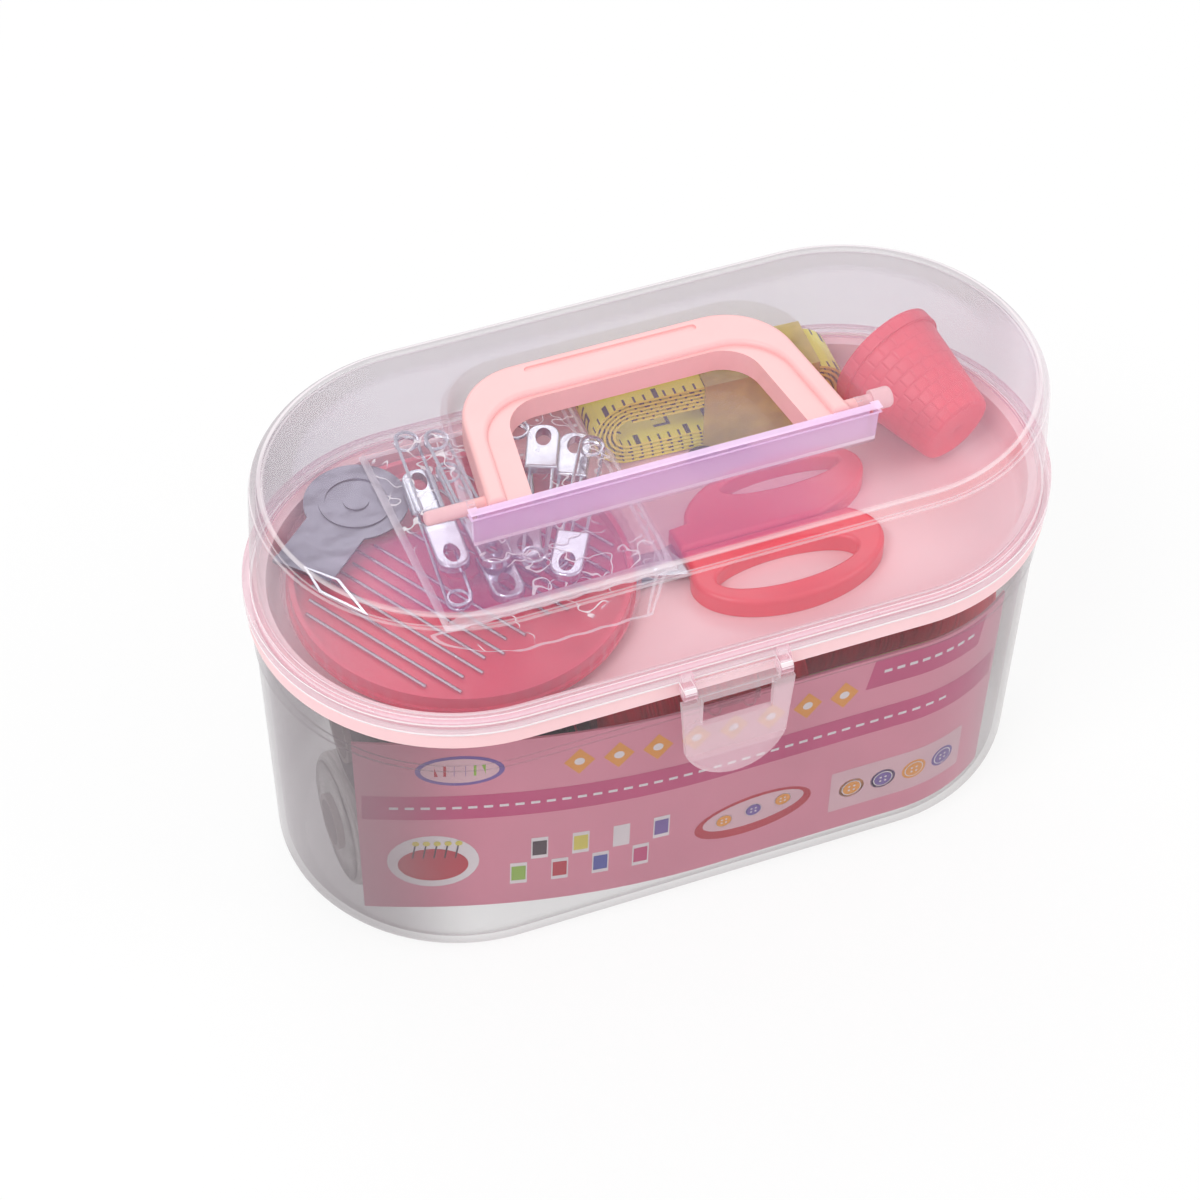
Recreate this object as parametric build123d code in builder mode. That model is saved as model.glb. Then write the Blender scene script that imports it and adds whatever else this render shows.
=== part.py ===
from build123d import *
from math import asin, cos, hypot, pi, radians, sin, tan
import os

os.makedirs("parts", exist_ok=True)

# Box outline seen from above: a straight middle with a half circle at each end
half_straight = 39.0
seam_height = 65.5
lid_height = 27.0

# Tub
tub_radius = 37.25
tub_band_depth = 10.0
tub_step = 0.35
tub_draft = 2.2
tub_wall = 1.3
tub_floor = 1.4
tub_foot_round = 5.0
tub_rim_drop = 1.0

# Tray
tray_side_gap = 0.45
tray_wall = 1.2
tray_depth = 5.0
tray_floor = 1.2
tray_draft = 4.0
tray_bead_height = 1.5
tray_bead_clearance = 0.2
tray_rim_plate = 0.8
tray_lip_depth = 3.5
tray_lip_wall = 0.65
tray_lip_clearance = 0.2
seat_gap = 0.1

# Lid
flange_overhang = 1.25
flange_height = 3.0
flange_skirt = 1.2
lid_wall = 1.2
lid_draft = 2.2
lid_top_round = 3.5

# Hand recess in the lid
pocket_front = 10.0
pocket_back = 25.3
pocket_front_half = 38.0
pocket_back_half = 33.0
pocket_depth = 7.6
pocket_draft = 2.0
pocket_back_round = 13.0
pocket_front_round = 1.5

# Carrying handle
handle_floor_gap = 0.3
handle_thickness = 5.9
handle_step = 1.1
handle_side_gap = 2.6
handle_back_gap = 1.0
handle_grip = 8.8
handle_foot = 8.2
handle_ridge = 3.4
handle_corner = 13.5
handle_foot_reach = 2.9
handle_pin_back = 4.8
handle_pin_radius = 1.35
handle_pin_clearance = 0.08
handle_pin_out = 7.0
handle_knob_radius = 2.0
handle_knob_length = 4.0

# Hinge at the back of the box
hinge_radius = 1.8
hinge_gap = 0.6
hinge_drop = 1.0
hinge_half_width = 8.8
hinge_ear = 3.0
hinge_pin_radius = 1.0
hinge_pin_clearance = 0.08
hinge_side_gap = 0.2

# Clasp at the front of the box
clasp_half_width = 11.0
clasp_axis_radius = 1.6
clasp_drop = 1.0
clasp_gap = 0.5
clasp_barrel_half = 8.0
clasp_ear = 2.3
clasp_pin_radius = 0.8
clasp_plate = 1.2
clasp_crease_depth = 17.0
clasp_tip_depth = 23.5
clasp_flare = 0.7
clasp_window_half = 6.9
clasp_window_top = 3.3
clasp_window_bottom = 9.6
catch_half_width = 5.4
catch_top = 4.2
catch_bottom = 9.2
catch_reach = 1.9
lug_radius = 1.25
lug_spread = 3.4
lug_clearance = 0.3

# Label card in the front of the tub
card_thickness = 0.5
card_top_drop = 12.5
card_foot_gap = 0.0
card_wall_gap = 0.3
card_right_angle = 37.0
card_left_reach = 29.0
card_left_bend = 158.0

# Thread spools in the tub
spool_radius = 12.8
spool_length = 40.0
spool_end_shift = 4.6
spool_front_inset = 4.35
spool_side_inset = 15.65
spool_white_radius = 13.2
spool_white_shift = -2.0
spool_white_back = 2.2
spool_end_round = 1.2
spool_tube_radius = 5.5
spool_tube_wall = 1.0
spool_tube_out = 1.2
spool_gap = 0.3

# Scissors on the tray floor, their loops placed from the pivot
scissor_case_gap = 3.0
scissor_pivot_y = -7.0
scissor_tip_reach = 46.0
scissor_taper_start = 30.0
scissor_tang_reach = 10.5
scissor_handle_height = 4.0
scissor_blade = 0.9
scissor_blade_gap = 0.06
scissor_blade_lift = 0.4
scissor_blade_half = 3.5
scissor_front_loop = (22.7, -7.5)
scissor_front_size = (19.2, 11.2)
scissor_front_turn = 3.0
scissor_front_hole = (21.7, -9.6)
scissor_front_hole_size = (14.0, 4.7)
scissor_rear_loop = (26.8, 8.4)
scissor_rear_size = (19.0, 9.4)
scissor_rear_turn = 9.0
scissor_rear_hole = (29.5, 12.05)
scissor_rear_hole_size = (12.0, 2.9)
scissor_shank_start = 4.5
scissor_middle_gap = 0.15
scissor_loop_round = 1.0
scissor_hole_round = 0.8
scissor_rivet_radius = 1.3
scissor_rivet_head = 2.0
scissor_rivet_clearance = 0.08
floor_gap = 0.1

# Round needle case in the left end of the tray
case_end_inset = 1.5
case_y = 0.5
case_side_gap = 1.3
case_tooth = 0.5
case_teeth = 60
case_cover_wall = 1.0
case_skirt_wall = 0.8
case_dish_wall = 1.0
case_dish_floor = 1.0
case_height = 4.8
case_skirt = 3.2
case_turn_clearance = 0.25
case_stud_radius = 2.4
case_stud_head = 3.6
case_stud_clearance = 0.08
case_stud_head_height = 0.5
needle_rows = 8
needle_radius = 0.36
needle_first_row = 3.4
needle_spacing = 3.0
needle_length = 36.0
needle_reach = 29.3
needle_turn = -60.0
needle_stagger = 2.0

# Thimble leaning in the right end of the tray
thimble_mouth_radius = 11.4
thimble_end_radius = 7.8
thimble_length = 21.7
thimble_wall = 1.1
thimble_band = 2.6
thimble_band_step = 0.6
thimble_end_round = 1.2
thimble_end_x = 22.6
thimble_end_y = -1.0
thimble_end_lift = 9.4
thimble_yaw = 108.3
thimble_pitch = 11.6

# Rolled tape measure along the back of the tray
tape_width = 11.0
tape_thickness = 0.5
tape_pitch = 0.95
tape_turns = 5
tape_hollow_radius = 2.9
tape_straight = 36.0
tape_centre_x = 23.0
tape_yaw = -3.0
tape_side_gap = 0.8
tape_end_x = 16.0
tape_sleeve_x = -4.0
tape_sleeve_width = 23.0
tape_sleeve_wall = 0.4
tape_sleeve_gap = 0.1

# Safety pins in their bag, placed from the middle of the pile on the needle case
pile_back_inset = 33.8
pin_length = 36.5
pin_wire = 0.7
pin_coil_radius = 2.1
pin_coil_rise = 1.9
pin_cap_length = 11.5
pin_cap_width = 6.2
pin_cap_thickness = 1.9
pin_cap_hole = (2.4, 1.5)
pin_layer_gap = 0.15
pins_lower = (
    (-3.9, -10.0, 84),
    (5.3, 21.0, 270),
    (15.5, -7.7, 62),
    (21.3, 27.3, 252),
)
pins_upper = (
    (11.6, -7.2, 66),
    (5.3, 27.3, 270),
    (-0.1, 28.9, 266),
    (31.7, 15.4, 240),
)
bag_film = 0.35
bag_round = 1.6
bag_lift = 1.0
bag_outline = (
    (-8.5, -15.5),
    (36.3, -15.5),
    (36.3, 14.5),
    (33.9, 19.9),
    (33.9, 32.5),
    (-8.5, 32.5),
)

# Needle threader on the needle case, placed from the middle of the pile
threader_offset = (-12.5, 22.3)
threader_turn = 222.0
threader_plate_thickness = 0.4
threader_head_radius = 9.8
threader_neck_width = 12.0
threader_neck_reach = 20.5
threader_lip = 1.6
threader_ring_radius = 7.0
threader_ring_width = 1.2
threader_ring_rise = 0.3
threader_wire = 0.5
threader_wire_offset = (-20.1, -7.0)
threader_wire_half = 2.4

# Press studs on the tray floor
stud_radius = 3.3
stud_height = 1.5
stud_nub_radius = 1.3
stud_nub_height = 0.9
stud_places = ((17.4, 16.4), (24.4, 14.6))

# Small rounds and grooves
tray_inner_round = 1.6
handle_inner_corner = 7.5
handle_ridge_back = 0.6
handle_ridge_corner = 11.0
handle_edge_round = 0.9
handle_groove_depth = 0.4
handle_groove_inset = 2.4
handle_groove_length = 34.0
handle_groove_width = 1.6
clasp_side_lean = 1.2

# Heights and radii that follow from the sizes above
flange_radius = tub_radius + flange_overhang
tray_inner_radius = tub_radius - tub_wall - tray_side_gap - tray_wall
tub_rim_top = seam_height - tub_rim_drop
tub_step_z = tub_rim_top - tub_band_depth
lid_top = seam_height + lid_height
tray_floor_top = seam_height - tray_depth
tray_bottom = tray_floor_top - tray_floor
pocket_floor = lid_top - pocket_depth
tub_lower_radius = tub_radius - tub_step
tub_foot_radius = tub_lower_radius - tub_step_z * tan(radians(tub_draft))
lid_wall_radius = flange_radius - flange_skirt - tray_bead_clearance
tray_bead_radius = flange_radius - flange_skirt - tray_bead_clearance
tray_lip_inner = tub_radius + tray_lip_clearance
tray_lip_radius = tray_lip_inner + tray_lip_wall
tray_floor_radius = tray_inner_radius - (tray_depth + tray_bead_height) * tan(radians(tray_draft))
case_x = case_end_inset - half_straight
case_radius = tray_inner_radius - case_side_gap
scissor_pivot_x = case_x + case_radius + scissor_case_gap
pile_x = case_x
pile_y = tray_inner_radius - pile_back_inset


def slot(radius):
    """Outline of the box at a given end radius."""
    return SlotCenterToCenter(2 * half_straight, 2 * radius)


def tub_outer(z):
    """Outer end radius of the tapered tub at a height."""
    return tub_lower_radius - (tub_step_z - z) * tan(radians(tub_draft))


# Hinge places
hinge_y = tray_lip_radius + hinge_gap + hinge_radius
hinge_z = seam_height - hinge_drop
clasp_y = -(tray_lip_radius + clasp_gap + clasp_axis_radius)
clasp_z = seam_height - clasp_drop
handle_pin_y = -pocket_front + handle_pin_back
handle_bottom = pocket_floor + handle_floor_gap
handle_top = handle_bottom + handle_thickness
handle_pin_z = handle_bottom + handle_foot_reach + 0.1
clasp_inner = clasp_y - clasp_axis_radius / 8
lug_y = clasp_inner + lug_clearance + lug_radius
ear_inner = tray_lip_radius + hinge_gap / 2
knob_start = pocket_front_half + lid_wall + 1.2


def save(builder, name):
    """Label a finished piece and write it under its own name."""
    builder.part.label = name
    export_step(builder.part, f"parts/{name}.step")


# Tub: tapered shell with an upper band, a catch in front and two hinge ears behind
with BuildPart() as tub_cavity:
    with BuildSketch(Plane.XY.offset(tub_floor)):
        slot(tub_outer(tub_floor) - tub_wall)
    extrude(amount=tub_step_z - tub_floor, taper=-tub_draft)
    fillet(tub_cavity.edges().group_by(Axis.Z)[0], radius=tub_foot_round - tub_wall)
    with BuildSketch(Plane.XY.offset(tub_step_z)):
        slot(tub_radius - tub_wall)
    extrude(amount=tub_band_depth)

with BuildPart() as base_tub:
    with BuildSketch(Plane.XY):
        slot(tub_foot_radius)
    extrude(amount=tub_step_z, taper=-tub_draft)
    fillet(base_tub.edges().group_by(Axis.Z)[0], radius=tub_foot_round)
    with BuildSketch(Plane.XY.offset(tub_step_z)):
        slot(tub_radius)
    extrude(amount=tub_band_depth)
    # Catch box below the tray lip
    with BuildSketch(Plane.YZ.offset(-catch_half_width)):
        with BuildLine():
            Polyline(
                (-tub_radius + tub_wall / 2, seam_height - catch_top),
                (-tub_radius - catch_reach, seam_height - catch_top - catch_reach / 2),
                (-tub_radius - catch_reach, seam_height - catch_bottom),
                (-tub_radius + tub_wall / 2, seam_height - catch_bottom - catch_reach / 2),
                close=True,
            )
        make_face()
    extrude(amount=2 * catch_half_width)
    for side in (-1, 1):
        with Locations((side * lug_spread, lug_y, seam_height - catch_bottom)):
            Sphere(lug_radius)
    # Hinge ears that rise outside the tray lip
    for side in (-1, 1):
        with BuildSketch(Plane.YZ.offset(side * (hinge_half_width + hinge_side_gap))):
            with BuildLine():
                Polyline(
                    (tub_radius - tub_wall / 2, seam_height - tub_band_depth),
                    (tub_radius - tub_wall / 2, seam_height - tray_lip_depth - 0.6),
                    (ear_inner, seam_height - tray_lip_depth - 0.3),
                    (ear_inner, hinge_z),
                    (hinge_y + hinge_radius, hinge_z),
                    (hinge_y + hinge_radius, hinge_z - 2 * hinge_radius),
                    (tub_radius, seam_height - tub_band_depth),
                    close=True,
                )
            make_face()
            with Locations((hinge_y, hinge_z)):
                Circle(hinge_radius)
                Circle(hinge_pin_radius + hinge_pin_clearance, mode=Mode.SUBTRACT)
        extrude(amount=side * hinge_ear)
    add(tub_cavity.part, mode=Mode.SUBTRACT)
save(base_tub, "base_tub")


# Tray: shallow drafted dish whose rim sits over the tub's rim
with BuildPart() as tray_hollow:
    with BuildSketch(Plane.XY.offset(tray_floor_top)):
        slot(tray_floor_radius)
    extrude(amount=tray_depth + tray_bead_height, taper=-tray_draft)
    fillet(tray_hollow.edges().group_by(Axis.Z)[0], radius=tray_inner_round)

with BuildPart() as tray:
    with BuildSketch(Plane.XY.offset(tray_bottom)):
        slot(tray_floor_radius + tray_wall - tray_floor * tan(radians(tray_draft)))
    extrude(amount=seam_height + tray_bead_height - tray_bottom, taper=-tray_draft)
    fillet(tray.edges().group_by(Axis.Z)[0], radius=tray_inner_round + tray_floor / 2)
    with BuildSketch(Plane.XY.offset(seam_height - tray_rim_plate - seat_gap)):
        slot(tray_bead_radius)
    extrude(amount=tray_rim_plate + seat_gap + tray_bead_height)
    with BuildSketch(Plane.XY.offset(seam_height - seat_gap)):
        slot(tray_lip_radius)
    extrude(amount=-tray_rim_plate)
    with BuildSketch(Plane.XY.offset(seam_height - seat_gap)):
        slot(tray_lip_radius)
        SlotCenterToCenter(2 * half_straight, 2 * tray_lip_inner, mode=Mode.SUBTRACT)
    extrude(amount=-tray_lip_depth)
    add(tray_hollow.part, mode=Mode.SUBTRACT)
save(tray, "tray")


# Lid: drafted dome with a flange, a recess for the hand, ears for the clasp and a hinge barrel
def pocket_outline(grow):
    """Outline of the hand recess, made larger by its wall."""
    with BuildSketch(Plane.XY) as outline:
        Polygon(
            (-pocket_front_half - grow, -pocket_front - grow),
            (pocket_front_half + grow, -pocket_front - grow),
            (pocket_back_half + grow, pocket_back + grow),
            (-pocket_back_half - grow, pocket_back + grow),
            align=None,
        )
        corners = outline.vertices().group_by(Axis.Y)
        fillet(corners[-1], radius=pocket_back_round + grow)
        fillet(corners[0], radius=pocket_front_round + grow)
    return outline.sketch


with BuildPart() as lid_hollow:
    with BuildSketch(Plane.XY.offset(seam_height)):
        slot(lid_wall_radius - lid_wall)
    extrude(amount=flange_height)
    with BuildSketch(Plane.XY.offset(seam_height + flange_height)):
        slot(lid_wall_radius - lid_wall)
    extrude(amount=lid_height - flange_height - lid_wall, taper=lid_draft)
    fillet(lid_hollow.edges().group_by(Axis.Z)[-1], radius=lid_top_round - lid_wall)
    with BuildSketch(Plane.XY.offset(seam_height)):
        slot(flange_radius - flange_skirt)
    extrude(amount=flange_height - flange_skirt)

with BuildPart() as lid:
    with BuildSketch(Plane.XY.offset(seam_height)):
        slot(flange_radius)
    extrude(amount=flange_height)
    with BuildSketch(Plane.XY.offset(seam_height + flange_height)):
        slot(lid_wall_radius)
    extrude(amount=lid_height - flange_height, taper=lid_draft)
    fillet(lid.edges().group_by(Axis.Z)[-1], radius=lid_top_round)
    add(lid_hollow.part, mode=Mode.SUBTRACT)
    with BuildSketch(Plane.XY.offset(lid_top - lid_wall / 2)):
        add(pocket_outline(lid_wall))
    extrude(amount=-(pocket_depth + lid_wall / 2), taper=pocket_draft)
    with BuildSketch(Plane.XY.offset(lid_top)):
        add(pocket_outline(0))
    extrude(amount=-pocket_depth, taper=pocket_draft, mode=Mode.SUBTRACT)
    # Holes for the handle's two pins through the side walls of the recess
    with Locations(Plane.YZ.offset(-pocket_front_half - lid_wall - 1)):
        with Locations((handle_pin_y, handle_pin_z)):
            Cylinder(
                handle_pin_radius + handle_pin_clearance,
                2 * (pocket_front_half + lid_wall + 1),
                align=(Align.CENTER, Align.CENTER, Align.MIN),
                mode=Mode.SUBTRACT,
            )
    # Ears that hold the clasp
    for side in (-1, 1):
        with BuildSketch(Plane.YZ.offset(side * (clasp_barrel_half + hinge_side_gap))):
            with BuildLine():
                Polyline(
                    (-flange_radius + flange_skirt / 2, seam_height + 0.8 * flange_height),
                    (-flange_radius - flange_skirt, seam_height + 0.8 * flange_height),
                    (clasp_y - clasp_axis_radius, clasp_z),
                    (clasp_y + clasp_axis_radius, clasp_z),
                    (clasp_y + clasp_axis_radius, seam_height + seat_gap),
                    (-flange_radius + flange_skirt / 2, seam_height + seat_gap),
                    close=True,
                )
            make_face()
            with Locations((clasp_y, clasp_z)):
                Circle(clasp_axis_radius)
                Circle(clasp_pin_radius + hinge_pin_clearance, mode=Mode.SUBTRACT)
        extrude(amount=side * clasp_ear)
    # Barrel of the rear hinge with its two pins
    with BuildSketch(Plane.YZ.offset(-hinge_half_width)):
        with BuildLine():
            Polyline(
                (flange_radius - flange_skirt / 2, seam_height + 0.8 * flange_height),
                (flange_radius + flange_skirt, seam_height + 0.8 * flange_height),
                (hinge_y + hinge_radius, hinge_z),
                (hinge_y - hinge_radius, hinge_z),
                (hinge_y - hinge_radius, seam_height + seat_gap),
                (flange_radius - flange_skirt / 2, seam_height + seat_gap),
                close=True,
            )
        make_face()
        with Locations((hinge_y, hinge_z)):
            Circle(hinge_radius)
    extrude(amount=2 * hinge_half_width)
    with Locations(Plane.YZ):
        with Locations((hinge_y, hinge_z)):
            Cylinder(hinge_pin_radius, 2 * (hinge_half_width + hinge_side_gap + hinge_ear))
save(lid, "lid")


# Handle: flat bail with a raised outer roll, a grip groove and two pins
handle_slope = (pocket_front_half - pocket_back_half) / (pocket_back + pocket_front)
handle_front = handle_pin_y - handle_foot_reach
handle_back = pocket_back - handle_back_gap
handle_front_half = pocket_front_half - handle_side_gap - handle_slope * (handle_front + pocket_front)
handle_back_half = pocket_front_half - handle_side_gap - handle_slope * (handle_back + pocket_front)
handle_inner_back = handle_back - handle_grip
handle_ridge_line = handle_inner_back + handle_ridge_back


def handle_opening(foot_width, back_line, corner):
    """Sketch of the gap between the legs, open towards the front."""
    half_front = handle_front_half - foot_width
    half_back = half_front - handle_slope * (back_line - handle_front)
    with BuildSketch(Plane.XY) as gap:
        Polygon(
            (-half_front, handle_front - 1),
            (half_front, handle_front - 1),
            (half_back, back_line),
            (-half_back, back_line),
            align=None,
        )
        fillet(gap.vertices().group_by(Axis.Y)[-1], radius=corner)
    return gap.sketch


with BuildSketch(Plane.XY) as bail:
    Polygon(
        (-handle_front_half, handle_front),
        (handle_front_half, handle_front),
        (handle_back_half, handle_back),
        (-handle_back_half, handle_back),
        align=None,
    )
    fillet(bail.vertices().group_by(Axis.Y)[-1], radius=handle_corner)

with BuildPart() as handle:
    with BuildSketch(Plane.XY.offset(handle_bottom)):
        add(bail.sketch)
        add(handle_opening(handle_foot, handle_inner_back, handle_inner_corner), mode=Mode.SUBTRACT)
    extrude(amount=handle_thickness - handle_step)
    with BuildSketch(Plane.XY.offset(handle_bottom)):
        add(bail.sketch)
        add(handle_opening(handle_ridge, handle_ridge_line, handle_ridge_corner), mode=Mode.SUBTRACT)
    extrude(amount=handle_thickness)
    front_edges = handle.edges().filter_by(Axis.X).group_by(Axis.Y)[0]
    fillet(front_edges.group_by(Axis.Z)[0], radius=handle_foot_reach - 0.1)
    top_edges = handle.faces().sort_by(Axis.Z)[-1].edges()
    fillet(top_edges, radius=handle_edge_round)
    # Shallow groove along the grip
    with BuildSketch(Plane.XY.offset(handle_top - handle_groove_depth)):
        with Locations((0, handle_back - handle_groove_inset)):
            SlotOverall(handle_groove_length, handle_groove_width)
    extrude(amount=handle_groove_depth + 1, mode=Mode.SUBTRACT)
    # Pins through the side walls of the recess, the right one ending in a knob
    pin_reach = pocket_front_half + lid_wall + handle_pin_out
    with Locations(Plane.YZ):
        with Locations((handle_pin_y, handle_pin_z)):
            with Locations((0, 0, -handle_front_half + 1)):
                Cylinder(
                    handle_pin_radius,
                    pin_reach - handle_front_half + 1,
                    align=(Align.CENTER, Align.CENTER, Align.MAX),
                )
            with Locations((0, 0, handle_front_half - 1)):
                Cylinder(
                    handle_pin_radius,
                    knob_start - handle_front_half + 1.5,
                    align=(Align.CENTER, Align.CENTER, Align.MIN),
                )
            with Locations((0, 0, knob_start)):
                Cylinder(
                    handle_knob_radius,
                    handle_knob_length,
                    align=(Align.CENTER, Align.CENTER, Align.MIN),
                )
    pin_ends = handle.edges().filter_by(GeomType.CIRCLE).sort_by(Axis.X)
    fillet(pin_ends[0], radius=handle_pin_radius * 0.6)
    fillet(pin_ends[-1], radius=handle_pin_radius * 0.6)
save(handle, "handle")


# Clasp: bent plate with a rounded tip and a window, hung from a barrel
with BuildPart() as clasp:
    with BuildSketch(Plane.YZ.offset(-clasp_half_width)):
        Polygon(
            (clasp_inner, clasp_z),
            (clasp_inner, seam_height - clasp_crease_depth),
            (clasp_inner - clasp_flare, seam_height - clasp_tip_depth),
            (clasp_inner - clasp_flare - clasp_plate, seam_height - clasp_tip_depth),
            (clasp_inner - clasp_plate, seam_height - clasp_crease_depth),
            (clasp_inner - clasp_plate, clasp_z),
            align=None,
        )
    extrude(amount=2 * clasp_half_width)
    with BuildSketch(Plane.XZ.offset(-clasp_inner - clasp_plate)):
        with BuildLine():
            left_wing = (-clasp_half_width, clasp_z - clasp_axis_radius - 0.3)
            right_wing = (clasp_half_width, clasp_z - clasp_axis_radius - 0.3)
            left_crease = (-clasp_half_width + clasp_side_lean, seam_height - clasp_crease_depth)
            right_crease = (clasp_half_width - clasp_side_lean, seam_height - clasp_crease_depth)
            Line(left_wing, left_crease)
            ThreePointArc(left_crease, (0, seam_height - clasp_tip_depth), right_crease)
            Line(right_crease, right_wing)
            Polyline(
                right_wing,
                (clasp_barrel_half, clasp_z - clasp_axis_radius - 0.3),
                (clasp_barrel_half, clasp_z),
                (-clasp_barrel_half, clasp_z),
                (-clasp_barrel_half, clasp_z - clasp_axis_radius - 0.3),
                left_wing,
            )
        make_face()
        window_height = clasp_window_bottom - clasp_window_top
        with Locations((0, seam_height - clasp_window_top - window_height / 2)):
            Rectangle(2 * clasp_window_half, window_height, mode=Mode.SUBTRACT)
    extrude(amount=clasp_flare + 3 * clasp_plate, mode=Mode.INTERSECT)
    with Locations(Plane.YZ):
        with Locations((clasp_y, clasp_z)):
            Cylinder(clasp_axis_radius, 2 * clasp_barrel_half)
            Cylinder(clasp_pin_radius, 2 * (clasp_barrel_half + hinge_side_gap + clasp_ear))
save(clasp, "clasp")


# Label card: thin band along the front wall that springs free of it at the left end
card_top = seam_height - card_top_drop
card_bottom = tub_foot_round + card_foot_gap


def card_outline(z):
    """Closed outline of the card at a height of the tapered tub."""
    radius = tub_outer(z) - tub_wall - card_wall_gap
    reach = half_straight + card_left_reach * radius / tub_radius
    bend_y = card_left_bend - radius
    bend_angle = asin(reach / card_left_bend)
    right_angle = radians(card_right_angle)

    def left(inset, share):
        bend = card_left_bend - inset
        return (-bend * sin(share * bend_angle), bend_y - bend * cos(share * bend_angle))

    def right(inset, share):
        size = radius - inset
        return (half_straight + size * sin(share * right_angle), -size * cos(share * right_angle))

    inner = card_thickness
    with BuildSketch(Plane.XY.offset(z)) as outline:
        with BuildLine():
            ThreePointArc(left(0, 1), left(0, 0.5), left(0, 0))
            Line(left(0, 0), right(0, 0))
            ThreePointArc(right(0, 0), right(0, 0.5), right(0, 1))
            Line(right(0, 1), right(inner, 1))
            ThreePointArc(right(inner, 1), right(inner, 0.5), right(inner, 0))
            Line(right(inner, 0), left(inner, 0))
            ThreePointArc(left(inner, 0), left(inner, 0.5), left(inner, 1))
            Line(left(inner, 1), left(0, 1))
        make_face()
    return outline.sketch


with BuildPart() as label_card:
    loft([card_outline(card_bottom).face(), card_outline(card_top).face()], ruled=True)
save(label_card, "label_card")


# Thread spools: two layers in three columns, the middle column two rows deep
spool_step = half_straight + spool_end_shift
spool_front_y = -(tub_radius - tub_wall - spool_front_inset - spool_radius)
spool_side_y = -(tub_radius - tub_wall - spool_side_inset - spool_radius)
spool_low_z = tub_floor + floor_gap + spool_radius
spool_high_z = spool_low_z + 2 * spool_radius + spool_gap
spool_back_y = spool_front_y + 2 * spool_radius + spool_gap
white_y = spool_side_y + spool_white_back
white_place = (-spool_step + spool_white_shift, white_y, tub_floor + floor_gap + spool_white_radius)
black_place = (-spool_step, spool_side_y, white_place[2] + spool_white_radius + spool_radius + spool_gap)
spool_groups = {
    "thread_black": ((black_place, spool_radius),),
    "thread_white": ((white_place, spool_white_radius),),
    "thread_dark_red": (
        ((0, spool_front_y, spool_high_z), spool_radius),
        ((spool_step, spool_side_y, spool_high_z), spool_radius),
    ),
    "thread_pink": (((0, spool_front_y, spool_low_z), spool_radius),),
    "thread_blue": (((0, spool_back_y, spool_high_z), spool_radius),),
    "thread_green": (((0, spool_back_y, spool_low_z), spool_radius),),
    "thread_yellow": (((spool_step, spool_side_y, spool_low_z), spool_radius),),
}


def thread_body(place, radius):
    """Wound thread lying along the box, with rounded ends and a bore."""
    with BuildPart() as body:
        with BuildSketch(Plane.YZ):
            Circle(radius)
        extrude(amount=spool_length / 2, both=True)
        fillet(body.edges(), radius=spool_end_round)
        with BuildSketch(Plane.YZ):
            Circle(spool_tube_radius)
        extrude(amount=spool_length, both=True, mode=Mode.SUBTRACT)
    return body.part.moved(Location(place))


for thread_name, group in spool_groups.items():
    with BuildPart() as thread_group:
        for place, radius in group:
            add(thread_body(place, radius))
    save(thread_group, thread_name)

with BuildPart() as spool_tubes:
    for group in spool_groups.values():
        for place, radius in group:
            with Locations(Location(place)):
                Cylinder(spool_tube_radius, spool_length + 2 * spool_tube_out, rotation=(0, 90, 0))
    for group in spool_groups.values():
        for place, radius in group:
            with Locations(Location(place)):
                Cylinder(
                    spool_tube_radius - spool_tube_wall,
                    2 * spool_length,
                    rotation=(0, 90, 0),
                    mode=Mode.SUBTRACT,
                )
save(spool_tubes, "spool_tubes")


# Scissors: two halves that cross at a rivet, the blades pointing to the left
pivot = (scissor_pivot_x, scissor_pivot_y)
handle_base = tray_floor_top + floor_gap
lower_blade_z = tray_floor_top + scissor_blade_lift
upper_blade_z = lower_blade_z + scissor_blade + scissor_blade_gap
blade_top_z = upper_blade_z + scissor_blade


def blade_form(side, lift):
    """Blade with its tang turning towards one side, its pivot over the origin."""
    half = scissor_blade_half
    points = (
        (-scissor_tip_reach, 0.5),
        (-scissor_taper_start, 0.75 * half),
        (-1.4 * half, half),
        (0.75 * half, 0.8 * half),
        (1.2 * half, -0.1 * half),
        (scissor_tang_reach, -0.9 * half),
        (scissor_tang_reach, -1.8 * half),
        (half, -1.25 * half),
        (-1.4 * half, -0.6 * half),
        (-scissor_tip_reach, -0.5),
    )
    with BuildPart() as blade:
        with BuildSketch(Plane.XY.offset(lift)):
            Polygon(*((x, -side * y) for x, y in points), align=None)
            Circle(scissor_rivet_radius + scissor_rivet_clearance, mode=Mode.SUBTRACT)
        extrude(amount=scissor_blade)
    return blade


def grip_form(side, centre, size, turn, hole, hole_size, blade):
    """Finger loop and shank of one half, moulded round its tang, placed as the blade is."""
    inner_y = side * scissor_middle_gap
    start_x = scissor_shank_start
    with BuildPart() as grip:
        with BuildSketch():
            with Locations(Location((centre[0], centre[1], 0), (0, 0, turn))):
                Ellipse(size[0], size[1])
            Polygon(
                (start_x, inner_y),
                (centre[0], inner_y),
                (centre[0], centre[1]),
                (start_x, inner_y + side * 1.7 * scissor_blade_half),
                align=None,
            )
            with Locations((centre[0], inner_y - side * size[0])):
                Rectangle(4 * size[0], 2 * size[0], mode=Mode.SUBTRACT)
        extrude(amount=scissor_handle_height)
        fillet(grip.faces().sort_by(Axis.Z)[-1].edges(), radius=scissor_loop_round)
        with BuildSketch():
            with Locations(hole):
                Ellipse(hole_size[0], hole_size[1])
        extrude(amount=scissor_handle_height, mode=Mode.SUBTRACT)
        rim = grip.faces().sort_by(Axis.Z)[-1].inner_wires().edges()
        fillet(rim, radius=scissor_hole_round)
        add(blade.part, mode=Mode.SUBTRACT)
    return grip


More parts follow.
